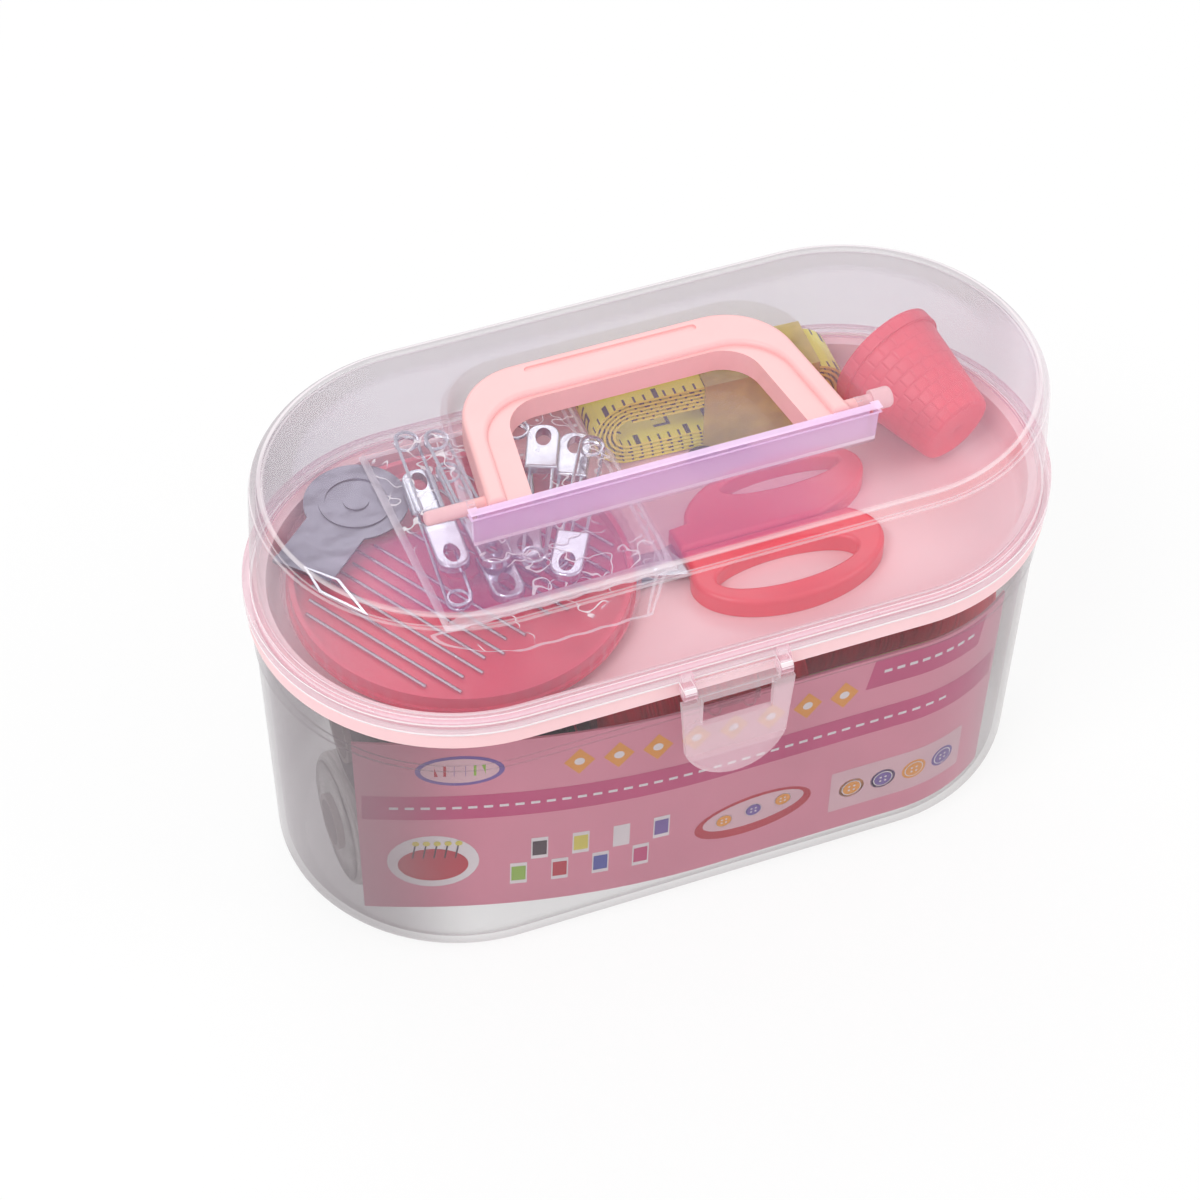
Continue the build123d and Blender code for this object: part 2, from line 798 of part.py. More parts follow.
def seat_scissors(form, name):
    """Set a finished piece of the scissors down on the tray at the pivot."""
    with BuildPart() as seated:
        with Locations((scissor_pivot_x, scissor_pivot_y, handle_base)):
            add(form.part)
    save(seated, name)


front_loop = (
    scissor_front_loop,
    scissor_front_size,
    scissor_front_turn,
    scissor_front_hole,
    scissor_front_hole_size,
)
rear_loop = (
    scissor_rear_loop,
    scissor_rear_size,
    scissor_rear_turn,
    scissor_rear_hole,
    scissor_rear_hole_size,
)
blade_fixed = blade_form(1, lower_blade_z - handle_base)
blade_moving = blade_form(-1, upper_blade_z - handle_base)
seat_scissors(blade_fixed, "scissor_blade_fixed")
seat_scissors(blade_moving, "scissor_blade_moving")
seat_scissors(grip_form(1, *rear_loop, blade_fixed), "scissor_grip_fixed")
seat_scissors(grip_form(-1, *front_loop, blade_moving), "scissor_grip_moving")

with BuildPart() as scissor_rivet:
    with BuildSketch(Plane.XY.offset(lower_blade_z - floor_gap)):
        with Locations(pivot):
            Circle(scissor_rivet_radius)
    extrude(amount=blade_top_z - lower_blade_z + 2 * floor_gap)
    with BuildSketch(Plane.XY.offset(blade_top_z + floor_gap / 2)):
        with Locations(pivot):
            Circle(scissor_rivet_head)
    extrude(amount=0.6)
save(scissor_rivet, "scissor_rivet")


# Needle case: shallow dish, turning cover with a toothed edge, stud and rows of needles
case_bottom = blade_top_z + floor_gap
case_top = case_bottom + case_height
skirt_inner = case_radius - case_tooth - case_skirt_wall
dish_radius = skirt_inner - case_turn_clearance
case_place = (case_x, case_y)

with BuildPart() as needle_case_dish:
    with BuildSketch(Plane.XY.offset(case_bottom)):
        with Locations(case_place):
            Circle(skirt_inner + case_skirt_wall / 2)
    extrude(amount=case_dish_floor)
    with BuildSketch(Plane.XY.offset(case_bottom + case_dish_floor)):
        with Locations(case_place):
            Circle(dish_radius)
            Circle(dish_radius - case_dish_wall, mode=Mode.SUBTRACT)
    extrude(amount=case_height - case_dish_floor - case_cover_wall - case_turn_clearance)
save(needle_case_dish, "needle_case_dish")

with BuildPart() as needle_case_cover:
    with BuildSketch(Plane.XY.offset(case_top - case_skirt)):
        with Locations(case_place):
            teeth = []
            for step in range(2 * case_teeth):
                reach = case_radius - case_tooth * (step % 2)
                angle = pi * step / case_teeth
                teeth.append((reach * cos(angle), reach * sin(angle)))
            Polygon(*teeth, align=None)
    extrude(amount=case_skirt)
    with BuildSketch(Plane.XY.offset(case_top - case_skirt)):
        with Locations(case_place):
            Circle(skirt_inner)
    extrude(amount=case_skirt - case_cover_wall, mode=Mode.SUBTRACT)
    with BuildSketch(Plane.XY.offset(case_top - case_cover_wall)):
        with Locations(case_place):
            Circle(case_stud_radius + case_stud_clearance)
    extrude(amount=case_cover_wall, mode=Mode.SUBTRACT)
save(needle_case_cover, "needle_case_cover")

with BuildPart() as needle_case_stud:
    with BuildSketch(Plane.XY.offset(case_bottom + case_dish_floor)):
        with Locations(case_place):
            Circle(case_stud_radius)
    extrude(amount=case_height - case_dish_floor + case_stud_clearance)
    with BuildSketch(Plane.XY.offset(case_top + case_stud_clearance)):
        with Locations(case_place):
            Circle(case_stud_head)
    extrude(amount=case_stud_head_height)
save(needle_case_stud, "needle_case_stud")

needle_z = case_bottom + case_dish_floor + needle_radius + floor_gap
needle_angle = radians(needle_turn)
needle_along = (cos(needle_angle), sin(needle_angle), 0)
with BuildPart() as needles:
    for row in range(needle_rows):
        for side in (-1, 1):
            away = side * (needle_first_row + row * needle_spacing)
            half = min(needle_length / 2 + needle_stagger, (needle_reach**2 - away**2) ** 0.5)
            start = needle_stagger * (row % 2) * side - half
            needle_start = (
                case_x - away * needle_along[1] + (start + needle_stagger) * needle_along[0],
                case_y + away * needle_along[0] + (start + needle_stagger) * needle_along[1],
                needle_z,
            )
            with BuildSketch(Plane(origin=needle_start, x_dir=(0, 0, 1), z_dir=needle_along)):
                RegularPolygon(needle_radius, 6)
            extrude(amount=2 * half - 2 * needle_stagger)
save(needles, "needles")


# Needle threader: thin pressed plate with a wire loop held by its folded end
threader_z = case_top + floor_gap
threader_x = pile_x + threader_offset[0]
threader_y = pile_y + threader_offset[1]
threader_wire_tip = (pile_x + threader_wire_offset[0], pile_y + threader_wire_offset[1])
with BuildPart() as threader_plate:
    with BuildSketch(Plane.XY.offset(threader_z)):
        with Locations(Location((threader_x, threader_y, 0), (0, 0, threader_turn))):
            Circle(threader_head_radius)
            with Locations((threader_neck_reach / 2, 0)):
                Rectangle(threader_neck_reach, threader_neck_width)
    extrude(amount=threader_plate_thickness)
    with BuildSketch(Plane.XY.offset(threader_z + threader_plate_thickness)):
        with Locations((threader_x, threader_y)):
            Circle(threader_ring_radius)
            Circle(threader_ring_radius - threader_ring_width, mode=Mode.SUBTRACT)
            Circle(2 * threader_ring_width)
    extrude(amount=threader_ring_rise)
    with BuildSketch(Plane.XY.offset(threader_z + threader_plate_thickness)):
        with Locations(Location((threader_x, threader_y, 0), (0, 0, threader_turn))):
            with Locations((threader_neck_reach - threader_lip / 2, 0)):
                Rectangle(threader_lip, threader_neck_width)
    extrude(amount=threader_plate_thickness)
save(threader_plate, "threader_plate")

fold = radians(threader_turn)
fold_reach = threader_neck_reach - threader_lip / 2
wire_start = (threader_x + fold_reach * cos(fold), threader_y + fold_reach * sin(fold))
wire_z = threader_z + 2 * threader_plate_thickness + floor_gap / 2
wire_span = (threader_wire_tip[0] - wire_start[0], threader_wire_tip[1] - wire_start[1])
wire_reach = hypot(*wire_span)


def wire_kite(inset):
    """Outline of the wire loop, made smaller all round by an inset."""
    along = (wire_span[0] / wire_reach, wire_span[1] / wire_reach)
    across = (-along[1], along[0])
    half = threader_wire_half - 1.1 * inset
    places = (
        (inset * 2.2, 0),
        (0.4 * wire_reach, half),
        (wire_reach - inset * 4.2, 0),
        (0.4 * wire_reach, -half),
    )
    Polygon(
        *(
            (wire_start[0] + a * along[0] + b * across[0], wire_start[1] + a * along[1] + b * across[1])
            for a, b in places
        ),
        align=None,
    )


with BuildPart() as threader_loop:
    with BuildSketch(Plane.XY.offset(wire_z)):
        wire_kite(0)
    extrude(amount=threader_wire)
    with BuildSketch(Plane.XY.offset(wire_z)):
        wire_kite(threader_wire)
    extrude(amount=threader_wire, mode=Mode.SUBTRACT)
save(threader_loop, "threader_loop")


# Thimble: hollow cone with a closed end and a thicker rim band
thimble_yaw_angle = radians(thimble_yaw)
thimble_pitch_angle = radians(thimble_pitch)
thimble_axis = (
    cos(thimble_pitch_angle) * cos(thimble_yaw_angle),
    cos(thimble_pitch_angle) * sin(thimble_yaw_angle),
    sin(thimble_pitch_angle),
)
thimble_place = (half_straight + thimble_end_x, thimble_end_y, tray_floor_top + thimble_end_lift)
with BuildPart() as thimble_form:
    with BuildSketch(Plane.XZ):
        Polygon(
            (0, 0.4),
            (2.5, 0),
            (thimble_end_radius - thimble_end_round, 0),
            (thimble_end_radius - 0.3 * thimble_end_round, 0.3 * thimble_end_round),
            (thimble_end_radius, thimble_end_round),
            (thimble_mouth_radius - thimble_band_step, thimble_length - thimble_band),
            (thimble_mouth_radius, thimble_length - thimble_band),
            (thimble_mouth_radius, thimble_length),
            (thimble_mouth_radius - thimble_wall, thimble_length),
            (thimble_end_radius - thimble_wall, thimble_wall + thimble_end_round),
            (thimble_end_radius - thimble_wall - thimble_end_round, thimble_wall + 0.3),
            (0, thimble_wall + 0.4),
            align=None,
        )
    revolve(axis=Axis.Z)
with BuildPart() as thimble:
    with Locations(Plane(origin=thimble_place, z_dir=thimble_axis)):
        add(thimble_form.part)
save(thimble, "thimble")


# Tape measure: one band wound into a flattened roll
tape_middle = tape_hollow_radius + tape_thickness / 2


def tape_edges(shift):
    """Corner and middle points of the wound band, moved outwards by a shift."""
    half = tape_straight / 2
    edges = []
    for turn in range(tape_turns):
        size = tape_middle + turn * tape_pitch + shift
        left_size = size + tape_pitch / 2
        edges.append(((-half, size), (half, size)))
        edges.append(((half, size), (half + size, 0), (half, -size)))
        edges.append(((half, -size), (-half, -size)))
        edges.append(((-half, -size), (-half - left_size, tape_pitch / 2), (-half, size + tape_pitch)))
    size = tape_middle + tape_turns * tape_pitch + shift
    edges.append(((-half, size), (tape_end_x, size)))
    return edges


tape_outer = tape_edges(tape_thickness / 2)
tape_inner = tape_edges(-tape_thickness / 2)
tape_low = tape_middle + (tape_turns - 1) * tape_pitch + tape_thickness / 2
tape_high = tape_middle + tape_turns * tape_pitch + tape_thickness / 2
tape_end_reach = tape_straight / 2 + tape_low + tape_pitch / 2
sleeve_out = tape_sleeve_gap + tape_sleeve_wall
tape_yaw_angle = radians(tape_yaw)
tape_y = (
    tray_floor_radius
    - tape_side_gap
    - sleeve_out
    - tape_width / 2
    + tape_end_reach * sin(tape_yaw_angle)
)
tape_z = tray_floor_top + floor_gap + sleeve_out + tape_low
tape_location = Location((tape_centre_x, tape_y, tape_z), (0, 0, tape_yaw))

with BuildPart() as tape_form:
    with BuildSketch(Plane.XZ):
        with BuildLine():
            for edge in tape_outer + tape_inner:
                if len(edge) == 2:
                    Line(*edge)
                else:
                    ThreePointArc(*edge)
            Line(tape_outer[0][0], tape_inner[0][0])
            Line(tape_outer[-1][-1], tape_inner[-1][-1])
        make_face()
    extrude(amount=tape_width / 2, both=True)
with BuildPart() as tape_roll:
    with Locations(tape_location):
        add(tape_form.part)
save(tape_roll, "tape_roll")

with BuildPart() as sleeve_form:
    with BuildSketch(Plane.YZ.offset(tape_sleeve_x)):
        with Locations((0, (tape_high - tape_low) / 2)):
            Rectangle(tape_width + 2 * sleeve_out, tape_high + tape_low + 2 * sleeve_out)
            Rectangle(
                tape_width + 2 * tape_sleeve_gap,
                tape_high + tape_low + 2 * tape_sleeve_gap,
                mode=Mode.SUBTRACT,
            )
    extrude(amount=tape_sleeve_width)
with BuildPart() as tape_sleeve:
    with Locations(tape_location):
        add(sleeve_form.part)
save(tape_sleeve, "tape_sleeve")


# Press studs: flat discs with a raised nub
with BuildPart() as press_studs:
    with BuildSketch(Plane.XY.offset(tray_floor_top + floor_gap)):
        with Locations(*stud_places):
            Circle(stud_radius)
    extrude(amount=stud_height)
    fillet(press_studs.faces().sort_by(Axis.Z)[-1].edges(), radius=0.5)
    with BuildSketch(Plane.XY.offset(tray_floor_top + floor_gap + stud_height)):
        with Locations(*stud_places):
            Circle(stud_nub_radius)
    extrude(amount=stud_nub_height)
save(press_studs, "press_studs")


# Safety pins: a bent wire with a sprung coil and a pressed cap, in two layers
pin_coil_end = pin_coil_radius + pin_wire / 2
pin_cap_start = pin_length - pin_coil_end - pin_cap_length
pin_height = pin_coil_rise + pin_wire
pin_points = (
    ((pin_cap_start, pin_coil_radius, 0), (0, pin_coil_radius, 0)),
    (
        (0, pin_coil_radius, 0),
        (-pin_coil_radius, 0, pin_coil_rise / 6),
        (0, -pin_coil_radius, pin_coil_rise / 3),
    ),
    (
        (0, -pin_coil_radius, pin_coil_rise / 3),
        (pin_coil_radius, 0, pin_coil_rise / 2),
        (0, pin_coil_radius, 2 * pin_coil_rise / 3),
    ),
    (
        (0, pin_coil_radius, 2 * pin_coil_rise / 3),
        (-pin_coil_radius, 0, 5 * pin_coil_rise / 6),
        (0, -pin_coil_radius, pin_coil_rise),
    ),
    ((0, -pin_coil_radius, pin_coil_rise), (pin_cap_start, -pin_coil_radius, pin_coil_rise / 2)),
)
with BuildPart() as pin_form:
    with BuildLine() as pin_path:
        for points in pin_points:
            if len(points) == 2:
                Line(*points)
            else:
                ThreePointArc(*points)
    with BuildSketch(Plane(origin=pin_points[0][0], z_dir=(-1, 0, 0))):
        RegularPolygon(pin_wire / 2, 6)
    sweep(path=pin_path.line)

with BuildPart() as cap_form:
    with BuildSketch(Plane.XY.offset(-pin_wire / 2)) as cap_outline:
        with Locations((pin_cap_start + floor_gap / 2 + pin_cap_length / 2, 0)):
            Rectangle(pin_cap_length, pin_cap_width)
        fillet(cap_outline.vertices().group_by(Axis.X)[-1], radius=0.45 * pin_cap_width)
    extrude(amount=pin_cap_thickness)
    fillet(cap_form.faces().sort_by(Axis.Z)[-1].edges(), radius=0.5)
    with BuildSketch(Plane.XY.offset(pin_cap_thickness)):
        with Locations((pin_cap_start + 0.7 * pin_cap_length, 0)):
            Ellipse(*pin_cap_hole)
    extrude(amount=-2 * pin_cap_thickness, mode=Mode.SUBTRACT)

bag_bottom = case_top + bag_lift
pins_low_z = bag_bottom + bag_film + floor_gap + pin_wire / 2
pins_high_z = pins_low_z + pin_height + pin_layer_gap
bag_thickness = pins_high_z + pin_coil_rise + pin_wire / 2 + floor_gap + bag_film - bag_bottom
pin_locations = []
for layer_z, layer in ((pins_low_z, pins_lower), (pins_high_z, pins_upper)):
    for x, y, turn in layer:
        pin_locations.append(Location((pile_x + x, pile_y + y, layer_z), (0, 0, turn)))

with BuildPart() as safety_pin_wires:
    with Locations(*pin_locations):
        add(pin_form.part)
save(safety_pin_wires, "safety_pin_wires")

with BuildPart() as safety_pin_caps:
    with Locations(*pin_locations):
        add(cap_form.part)
save(safety_pin_caps, "safety_pin_caps")


# Bag round the safety pins: closed pillow of thin film
def pillow(inset):
    """Rounded block in the outline of the bag, made smaller all round."""
    with BuildPart() as block:
        with BuildSketch(Plane.XY.offset(bag_bottom + inset)):
            with Locations((pile_x, pile_y)):
                Polygon(*bag_outline, align=None)
            if inset:
                offset(amount=-inset, kind=Kind.INTERSECTION, mode=Mode.REPLACE)
        extrude(amount=bag_thickness - 2 * inset)
        fillet(block.edges().filter_by(Axis.Z), radius=2 * bag_round - inset)
        fillet(block.faces().sort_by(Axis.Z)[-1].edges(), radius=bag_round - inset)
        fillet(block.faces().sort_by(Axis.Z)[0].edges(), radius=bag_round - inset)
    return block.part


with BuildPart() as pin_bag:
    add(pillow(0))
    add(pillow(bag_film), mode=Mode.SUBTRACT)
save(pin_bag, "pin_bag")


# Least gaps of the wound pieces to themselves
def path_points(edges, step):
    """Points along lines and arcs, each with its distance from the start."""
    points = []
    travelled = 0
    for edge in edges:
        count = int(edge.length / step) + 1
        for share in range(count):
            points.append((edge @ (share / count), travelled + edge.length * share / count))
        travelled += edge.length
    return points


def least_gap(edges, step, thickness, skip):
    """Smallest clear distance between stretches of a path that are not neighbours."""
    points = path_points(edges, step)
    gaps = []
    for index, (place, reach) in enumerate(points):
        for other, further in points[index + 1:]:
            if further - reach > skip:
                gaps.append((place - other).length)
    return min(gaps) - thickness


with BuildPart():
    with BuildLine() as tape_path:
        for edge in tape_edges(0):
            corners = [(x, 0, z) for x, z in edge]
            if len(edge) == 2:
                Line(*corners)
            else:
                ThreePointArc(*corners)
tape_gap = least_gap(tape_path.edges(), 1.5, tape_thickness, 4 * tape_middle)
pin_gap = least_gap(pin_path.edges(), 0.4, pin_wire, 4 * pin_coil_radius)
print(f"least gap of the tape to itself {tape_gap:.2f} mm")
print(f"least gap of a pin to itself {pin_gap:.2f} mm")
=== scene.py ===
import math
import random

import bmesh
import bpy
from mathutils import Matrix, Vector


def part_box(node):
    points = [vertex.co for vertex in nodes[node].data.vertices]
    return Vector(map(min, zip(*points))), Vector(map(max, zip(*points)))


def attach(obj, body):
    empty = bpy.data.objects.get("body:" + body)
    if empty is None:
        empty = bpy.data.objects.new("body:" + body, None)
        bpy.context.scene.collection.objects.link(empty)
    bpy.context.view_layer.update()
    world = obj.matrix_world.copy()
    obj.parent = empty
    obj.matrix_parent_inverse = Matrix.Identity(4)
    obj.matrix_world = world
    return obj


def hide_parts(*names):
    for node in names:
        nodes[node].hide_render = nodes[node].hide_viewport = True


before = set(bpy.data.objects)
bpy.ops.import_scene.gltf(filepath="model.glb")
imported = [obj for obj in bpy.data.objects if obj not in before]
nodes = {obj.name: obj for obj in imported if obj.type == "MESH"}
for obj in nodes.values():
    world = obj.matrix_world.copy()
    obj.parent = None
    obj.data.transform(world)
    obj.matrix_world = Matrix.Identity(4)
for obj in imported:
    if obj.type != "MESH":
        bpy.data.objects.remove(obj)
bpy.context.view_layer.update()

MM = 0.001


# Colours and materials
def tone(red, green, blue):
    """Linear colour from the usual 0 to 255 values."""
    parts = []
    for value in (red, green, blue):
        value /= 255
        parts.append(value / 12.92 if value <= 0.04045 else ((value + 0.055) / 1.055) ** 2.4)
    return (*parts, 1.0)


class Finish:
    """A material with one main shader and helpers that add texture nodes to it."""

    def __init__(self, name, color, roughness=0.4, **sockets):
        self.material = bpy.data.materials.new(name)
        self.material.use_nodes = True
        self.tree = self.material.node_tree
        self.shader = self.tree.nodes["Principled BSDF"]
        self.shader.inputs["Base Color"].default_value = color
        self.shader.inputs["Roughness"].default_value = roughness
        for socket, value in sockets.items():
            self.shader.inputs[socket.replace("_", " ")].default_value = value
        self.color = color
        self.coords = None
        self.normal = None

    def node(self, kind, **values):
        """New node whose sockets and settings get the values by their names."""
        made = self.tree.nodes.new(kind)
        for key, value in values.items():
            if key in made.inputs:
                made.inputs[key].default_value = value
            else:
                setattr(made, key, value)
        return made

    def link(self, source, target):
        self.tree.links.new(source, target)

    def place(self, scale=(1, 1, 1)):
        """Coordinates in millimetres on the object, scaled along each axis."""
        if self.coords is None:
            self.coords = self.node("ShaderNodeTexCoord").outputs["Object"]
        mapping = self.node("ShaderNodeMapping")
        mapping.inputs["Scale"].default_value = [s / MM for s in scale]
        self.link(self.coords, mapping.inputs["Vector"])
        return mapping.outputs["Vector"]

    def noise(self, size, detail=3.0, stretch=(1, 1, 1)):
        """Noise whose features are about one size in millimetres."""
        made = self.node("ShaderNodeTexNoise", Scale=1.0, Detail=detail, Roughness=0.55)
        self.link(self.place([s / size for s in stretch]), made.inputs["Vector"])
        return made.outputs["Fac"]

    def ramp(self, value, stops):
        """Colour ramp with given places and colours."""
        made = self.node("ShaderNodeValToRGB")
        while len(made.color_ramp.elements) < len(stops):
            made.color_ramp.elements.new(0.5)
        for element, (place, color) in zip(made.color_ramp.elements, stops):
            element.position = place
            element.color = color
        self.link(value, made.inputs["Fac"])
        return made.outputs["Color"]

    def math(self, operation, first, second=None, third=None):
        """Result of one operation on numbers or links."""
        made = self.node("ShaderNodeMath", operation=operation)
        for socket, value in zip(made.inputs, (first, second, third)):
            if value is None:
                continue
            if isinstance(value, (int, float)):
                socket.default_value = value
            else:
                self.link(value, socket)
        return made.outputs[0]

    def split(self, vector):
        """The three parts of a vector link."""
        made = self.node("ShaderNodeSeparateXYZ")
        self.link(vector, made.inputs[0])
        return made.outputs

    def mix(self, factor, first, second):
        """Colour between two colours or links."""
        made = self.node("ShaderNodeMix", data_type="RGBA")
        sockets = (made.inputs[0], made.inputs[6], made.inputs[7])
        for socket, value in zip(sockets, (factor, first, second)):
            if isinstance(value, (int, float, tuple)):
                socket.default_value = value
            else:
                self.link(value, socket)
        return made.outputs[2]

    def paint(self, color):
        """Base colour from a link."""
        self.link(color, self.shader.inputs["Base Color"])
        return self

    def mottle(self, size, strength):
        """Slight changes of colour over the surface."""
        low = tuple(c * (1 - strength) for c in self.color[:3]) + (1,)
        high = tuple(min(1, c * (1 + strength)) for c in self.color[:3]) + (1,)
        return self.paint(self.ramp(self.noise(size), [(0.3, low), (0.7, high)]))

    def rough(self, size, low, high):
        """Roughness that changes over the surface."""
        made = self.node("ShaderNodeMapRange")
        made.inputs["To Min"].default_value = low
        made.inputs["To Max"].default_value = high
        self.link(self.noise(size), made.inputs["Value"])
        self.link(made.outputs[0], self.shader.inputs["Roughness"])
        return self

    def bump(self, height, depth):
        """Relief from a height link, its depth in millimetres, over any earlier relief."""
        made = self.node("ShaderNodeBump", Strength=1.0, Distance=depth * MM)
        self.link(height, made.inputs["Height"])
        if self.normal is not None:
            self.link(self.normal, made.inputs["Normal"])
        self.normal = made.outputs["Normal"]
        self.link(self.normal, self.shader.inputs["Normal"])
        return self

    def on(self, *names):
        """Give this material to carried-over nodes."""
        for name in names:
            mesh = nodes[name].data
            mesh.materials.clear()
            mesh.materials.append(self.material)
        return self


rim_reflection_blend = 0.4
rim_reflection_power = 1.6
clear_gloss_level = 0.7
clear_relief = 0.05


def clear_plastic(name, body, rim, facing, edge, gloss=0.1, wave=14):
    """Clear moulded plastic: a tinted body, and pale, denser rims where the surface turns from view;
    the pale rim colour is a painted reflection.
    """
    finish = Finish(name, body, gloss, Specular_IOR_Level=clear_gloss_level)
    weight = finish.node("ShaderNodeLayerWeight", Blend=rim_reflection_blend).outputs["Facing"]
    rim_reflection_share = finish.math("POWER", weight, rim_reflection_power)
    # Pale colour towards the rims, as the surface turns from view: painted reflection.
    finish.body_color = finish.mix(rim_reflection_share, body, rim)
    finish.density = finish.math("MULTIPLY_ADD", rim_reflection_share, edge - facing, facing)
    finish.rough(wave, gloss * 0.7, gloss * 1.5)
    finish.bump(finish.noise(wave), clear_relief)
    return finish


def finish_clear(finish, *names):
    """Connect the colour and density worked out so far."""
    finish.paint(finish.body_color)
    finish.link(finish.density, finish.shader.inputs["Alpha"])
    finish.on(*names)


def between(finish, value, low, high, soft):
    """Share that is 1 between two values and falls to 0 beside them."""
    up = finish.node("ShaderNodeMapRange", interpolation_type="SMOOTHSTEP")
    down = finish.node("ShaderNodeMapRange", interpolation_type="SMOOTHSTEP")
    for made, start, end in ((up, low - soft, low), (down, high + soft, high)):
        finish.link(value, made.inputs["Value"])
        made.inputs["From Min"].default_value = start
        made.inputs["From Max"].default_value = end
    return finish.math("MULTIPLY", up.outputs[0], down.outputs[0])


def tint(finish, share, color, extra):
    """Colour and added density where a share is 1."""
    if color:
        finish.body_color = finish.mix(share, finish.body_color, color)
    finish.density = finish.math("MULTIPLY_ADD", share, extra, finish.density)


# Lid: the parts of the moulding that look lilac, grey, pink or white; the lilac top is a painted
# reflection, the white lines are painted highlights, and the pocket wall is lightened by painted light
lid_finish = clear_plastic("lid clear", tone(200, 180, 202), tone(250, 240, 248), 0.045, 0.5, 0.09)
lid_coords = lid_finish.node("ShaderNodeTexCoord")
lid_finish.coords = lid_coords.outputs["Object"]
facing_up = lid_finish.split(lid_coords.outputs["Normal"])[2]
place_x, place_y, place_z = lid_finish.split(lid_finish.place())
half_straight = 39.0
far = 90.0


def zone(value, low, high, soft):
    """Share of the lid between two values."""
    return between(lid_finish, value, low, high, soft)


def both(first, second):
    """Share where two shares meet."""
    return lid_finish.math("MULTIPLY", first, second)


def either(first, second):
    """Share where at least one of two shares is."""
    return lid_finish.math("MAXIMUM", first, second)


past_end = lid_finish.math("SUBTRACT", lid_finish.math("ABSOLUTE", place_x), half_straight)
past_end = lid_finish.math("MAXIMUM", past_end, 0.0)
radius = lid_finish.math("MULTIPLY_ADD", place_y, place_y, both(past_end, past_end))
radius = lid_finish.math("SQRT", radius)
# Top-facing faces turn lilac: painted reflection.
top_reflection = zone(facing_up, 0.97, 2.0, 0.03)
# A denser lilac patch over the left part of the top: painted reflection.
lilac_reflection = both(top_reflection, zone(place_x, -50.0, 14.0, 20.0))
lilac_reflection = both(lilac_reflection, zone(place_y, -60.0, -11.5, 0.5))
back_half = both(zone(place_y, 12.0, far, 16.0), zone(radius, 29.0, far, 2.0))
# Pale bands where the top rounds over into the walls: painted highlights.
top_edge_highlights = either(zone(facing_up, 0.86, 0.93, 0.04), zone(facing_up, 0.3, 0.4, 0.07))
flange_band = zone(place_z, 60.0, 68.6, 0.3)
# Thin white lines round the flange: painted highlights.
flange_highlights = either(zone(place_z, 68.0, 68.35, 0.1), zone(place_z, 65.4, 65.9, 0.15))
flange_highlights = either(flange_highlights, zone(radius, 36.8, 37.1, 0.12))
flange_highlights = both(flange_highlights, flange_band)
# The pocket wall: its own lilac tint, made lighter with painted light where it lies in shade.
pocket_wall_tint_and_light = both(zone(place_y, -11.6, -9.6, 0.1), zone(place_z, 84.4, 94.0, 0.2))
pocket_wall_tint_and_light = both(pocket_wall_tint_and_light, zone(place_x, -39.6, 39.6, 0.2))
# A near-white line along the foot of the pocket wall: painted highlight.
pocket_edge_highlight = both(pocket_wall_tint_and_light, zone(place_z, 84.4, 85.1, 0.2))
for share, color, extra in (
    (top_reflection, tone(206, 186, 214), 0.02),
    (lilac_reflection, tone(166, 112, 166), 0.13),
    (back_half, tone(168, 154, 166), 0.13),
    (flange_band, tone(248, 204, 218), 0.2),
    (top_edge_highlights, tone(255, 244, 250), 0.24),
    (flange_highlights, tone(255, 250, 252), 0.45),
    (pocket_wall_tint_and_light, tone(240, 206, 246), 0.5),
    (pocket_edge_highlight, tone(250, 236, 252), 0.2),
):
    tint(lid_finish, share, color, extra)
finish_clear(lid_finish, "lid")

# Tub, clasp and cover of the needle case
tub_finish = clear_plastic("tub clear", tone(118, 104, 110), tone(206, 198, 204), 0.035, 0.6, 0.12, 16)
# Denser grey towards both ends of the tub: painted shade, for the dark inside seen through the end
# walls.
tub_x = tub_finish.split(tub_finish.place())[0]
for low, high, extra in ((-far, -66.0, 0.22), (72.0, far, 0.12)):
    tint(tub_finish, between(tub_finish, tub_x, low, high, 20.0), None, extra)
finish_clear(tub_finish, "base_tub")
clasp_tones = (tone(255, 232, 240), tone(255, 250, 252))
finish_clear(clear_plastic("clasp clear", *clasp_tones, 0.2, 0.75, 0.16, 4), "clasp")
cover_tones = (tone(226, 130, 160), tone(255, 232, 240))
finish_clear(clear_plastic("case cover clear", *cover_tones, 0.04, 0.5, 0.1, 9), "needle_case_cover")

# Opaque mouldings, metal and card
tray_finish = Finish("tray pink", tone(255, 208, 212), 0.34, Subsurface_Weight=0.1)
tray_finish.shader.inputs["Subsurface Radius"].default_value = (0.004, 0.002, 0.002)
tray_finish.shader.inputs["Subsurface Scale"].default_value = 0.5
tray_finish.mottle(30, 0.03).bump(tray_finish.noise(1.2), 0.01).on("tray")
handle_finish = Finish("handle pink", tone(248, 194, 194), 0.42)
handle_finish.mottle(9, 0.02).rough(6, 0.36, 0.5).bump(handle_finish.noise(0.7), 0.012).on("handle")

steel_finish = Finish("bright steel", tone(198, 200, 210), 0.26, Metallic=1.0)
steel_finish.rough(3, 0.16, 0.32).bump(steel_finish.noise(0.5, stretch=(0.1, 1, 1)), 0.006)
steel_finish.on("scissor_blade_fixed", "scissor_blade_moving", "scissor_rivet")
steel_finish.on("needles", "safety_pin_wires", "safety_pin_caps", "threader_loop")
plate_finish = Finish("pressed plate", tone(120, 119, 130), 0.32, Metallic=1.0)
plate_finish.rough(4, 0.24, 0.4).bump(plate_finish.noise(6.5, detail=1.5), 0.8).on("threader_plate")

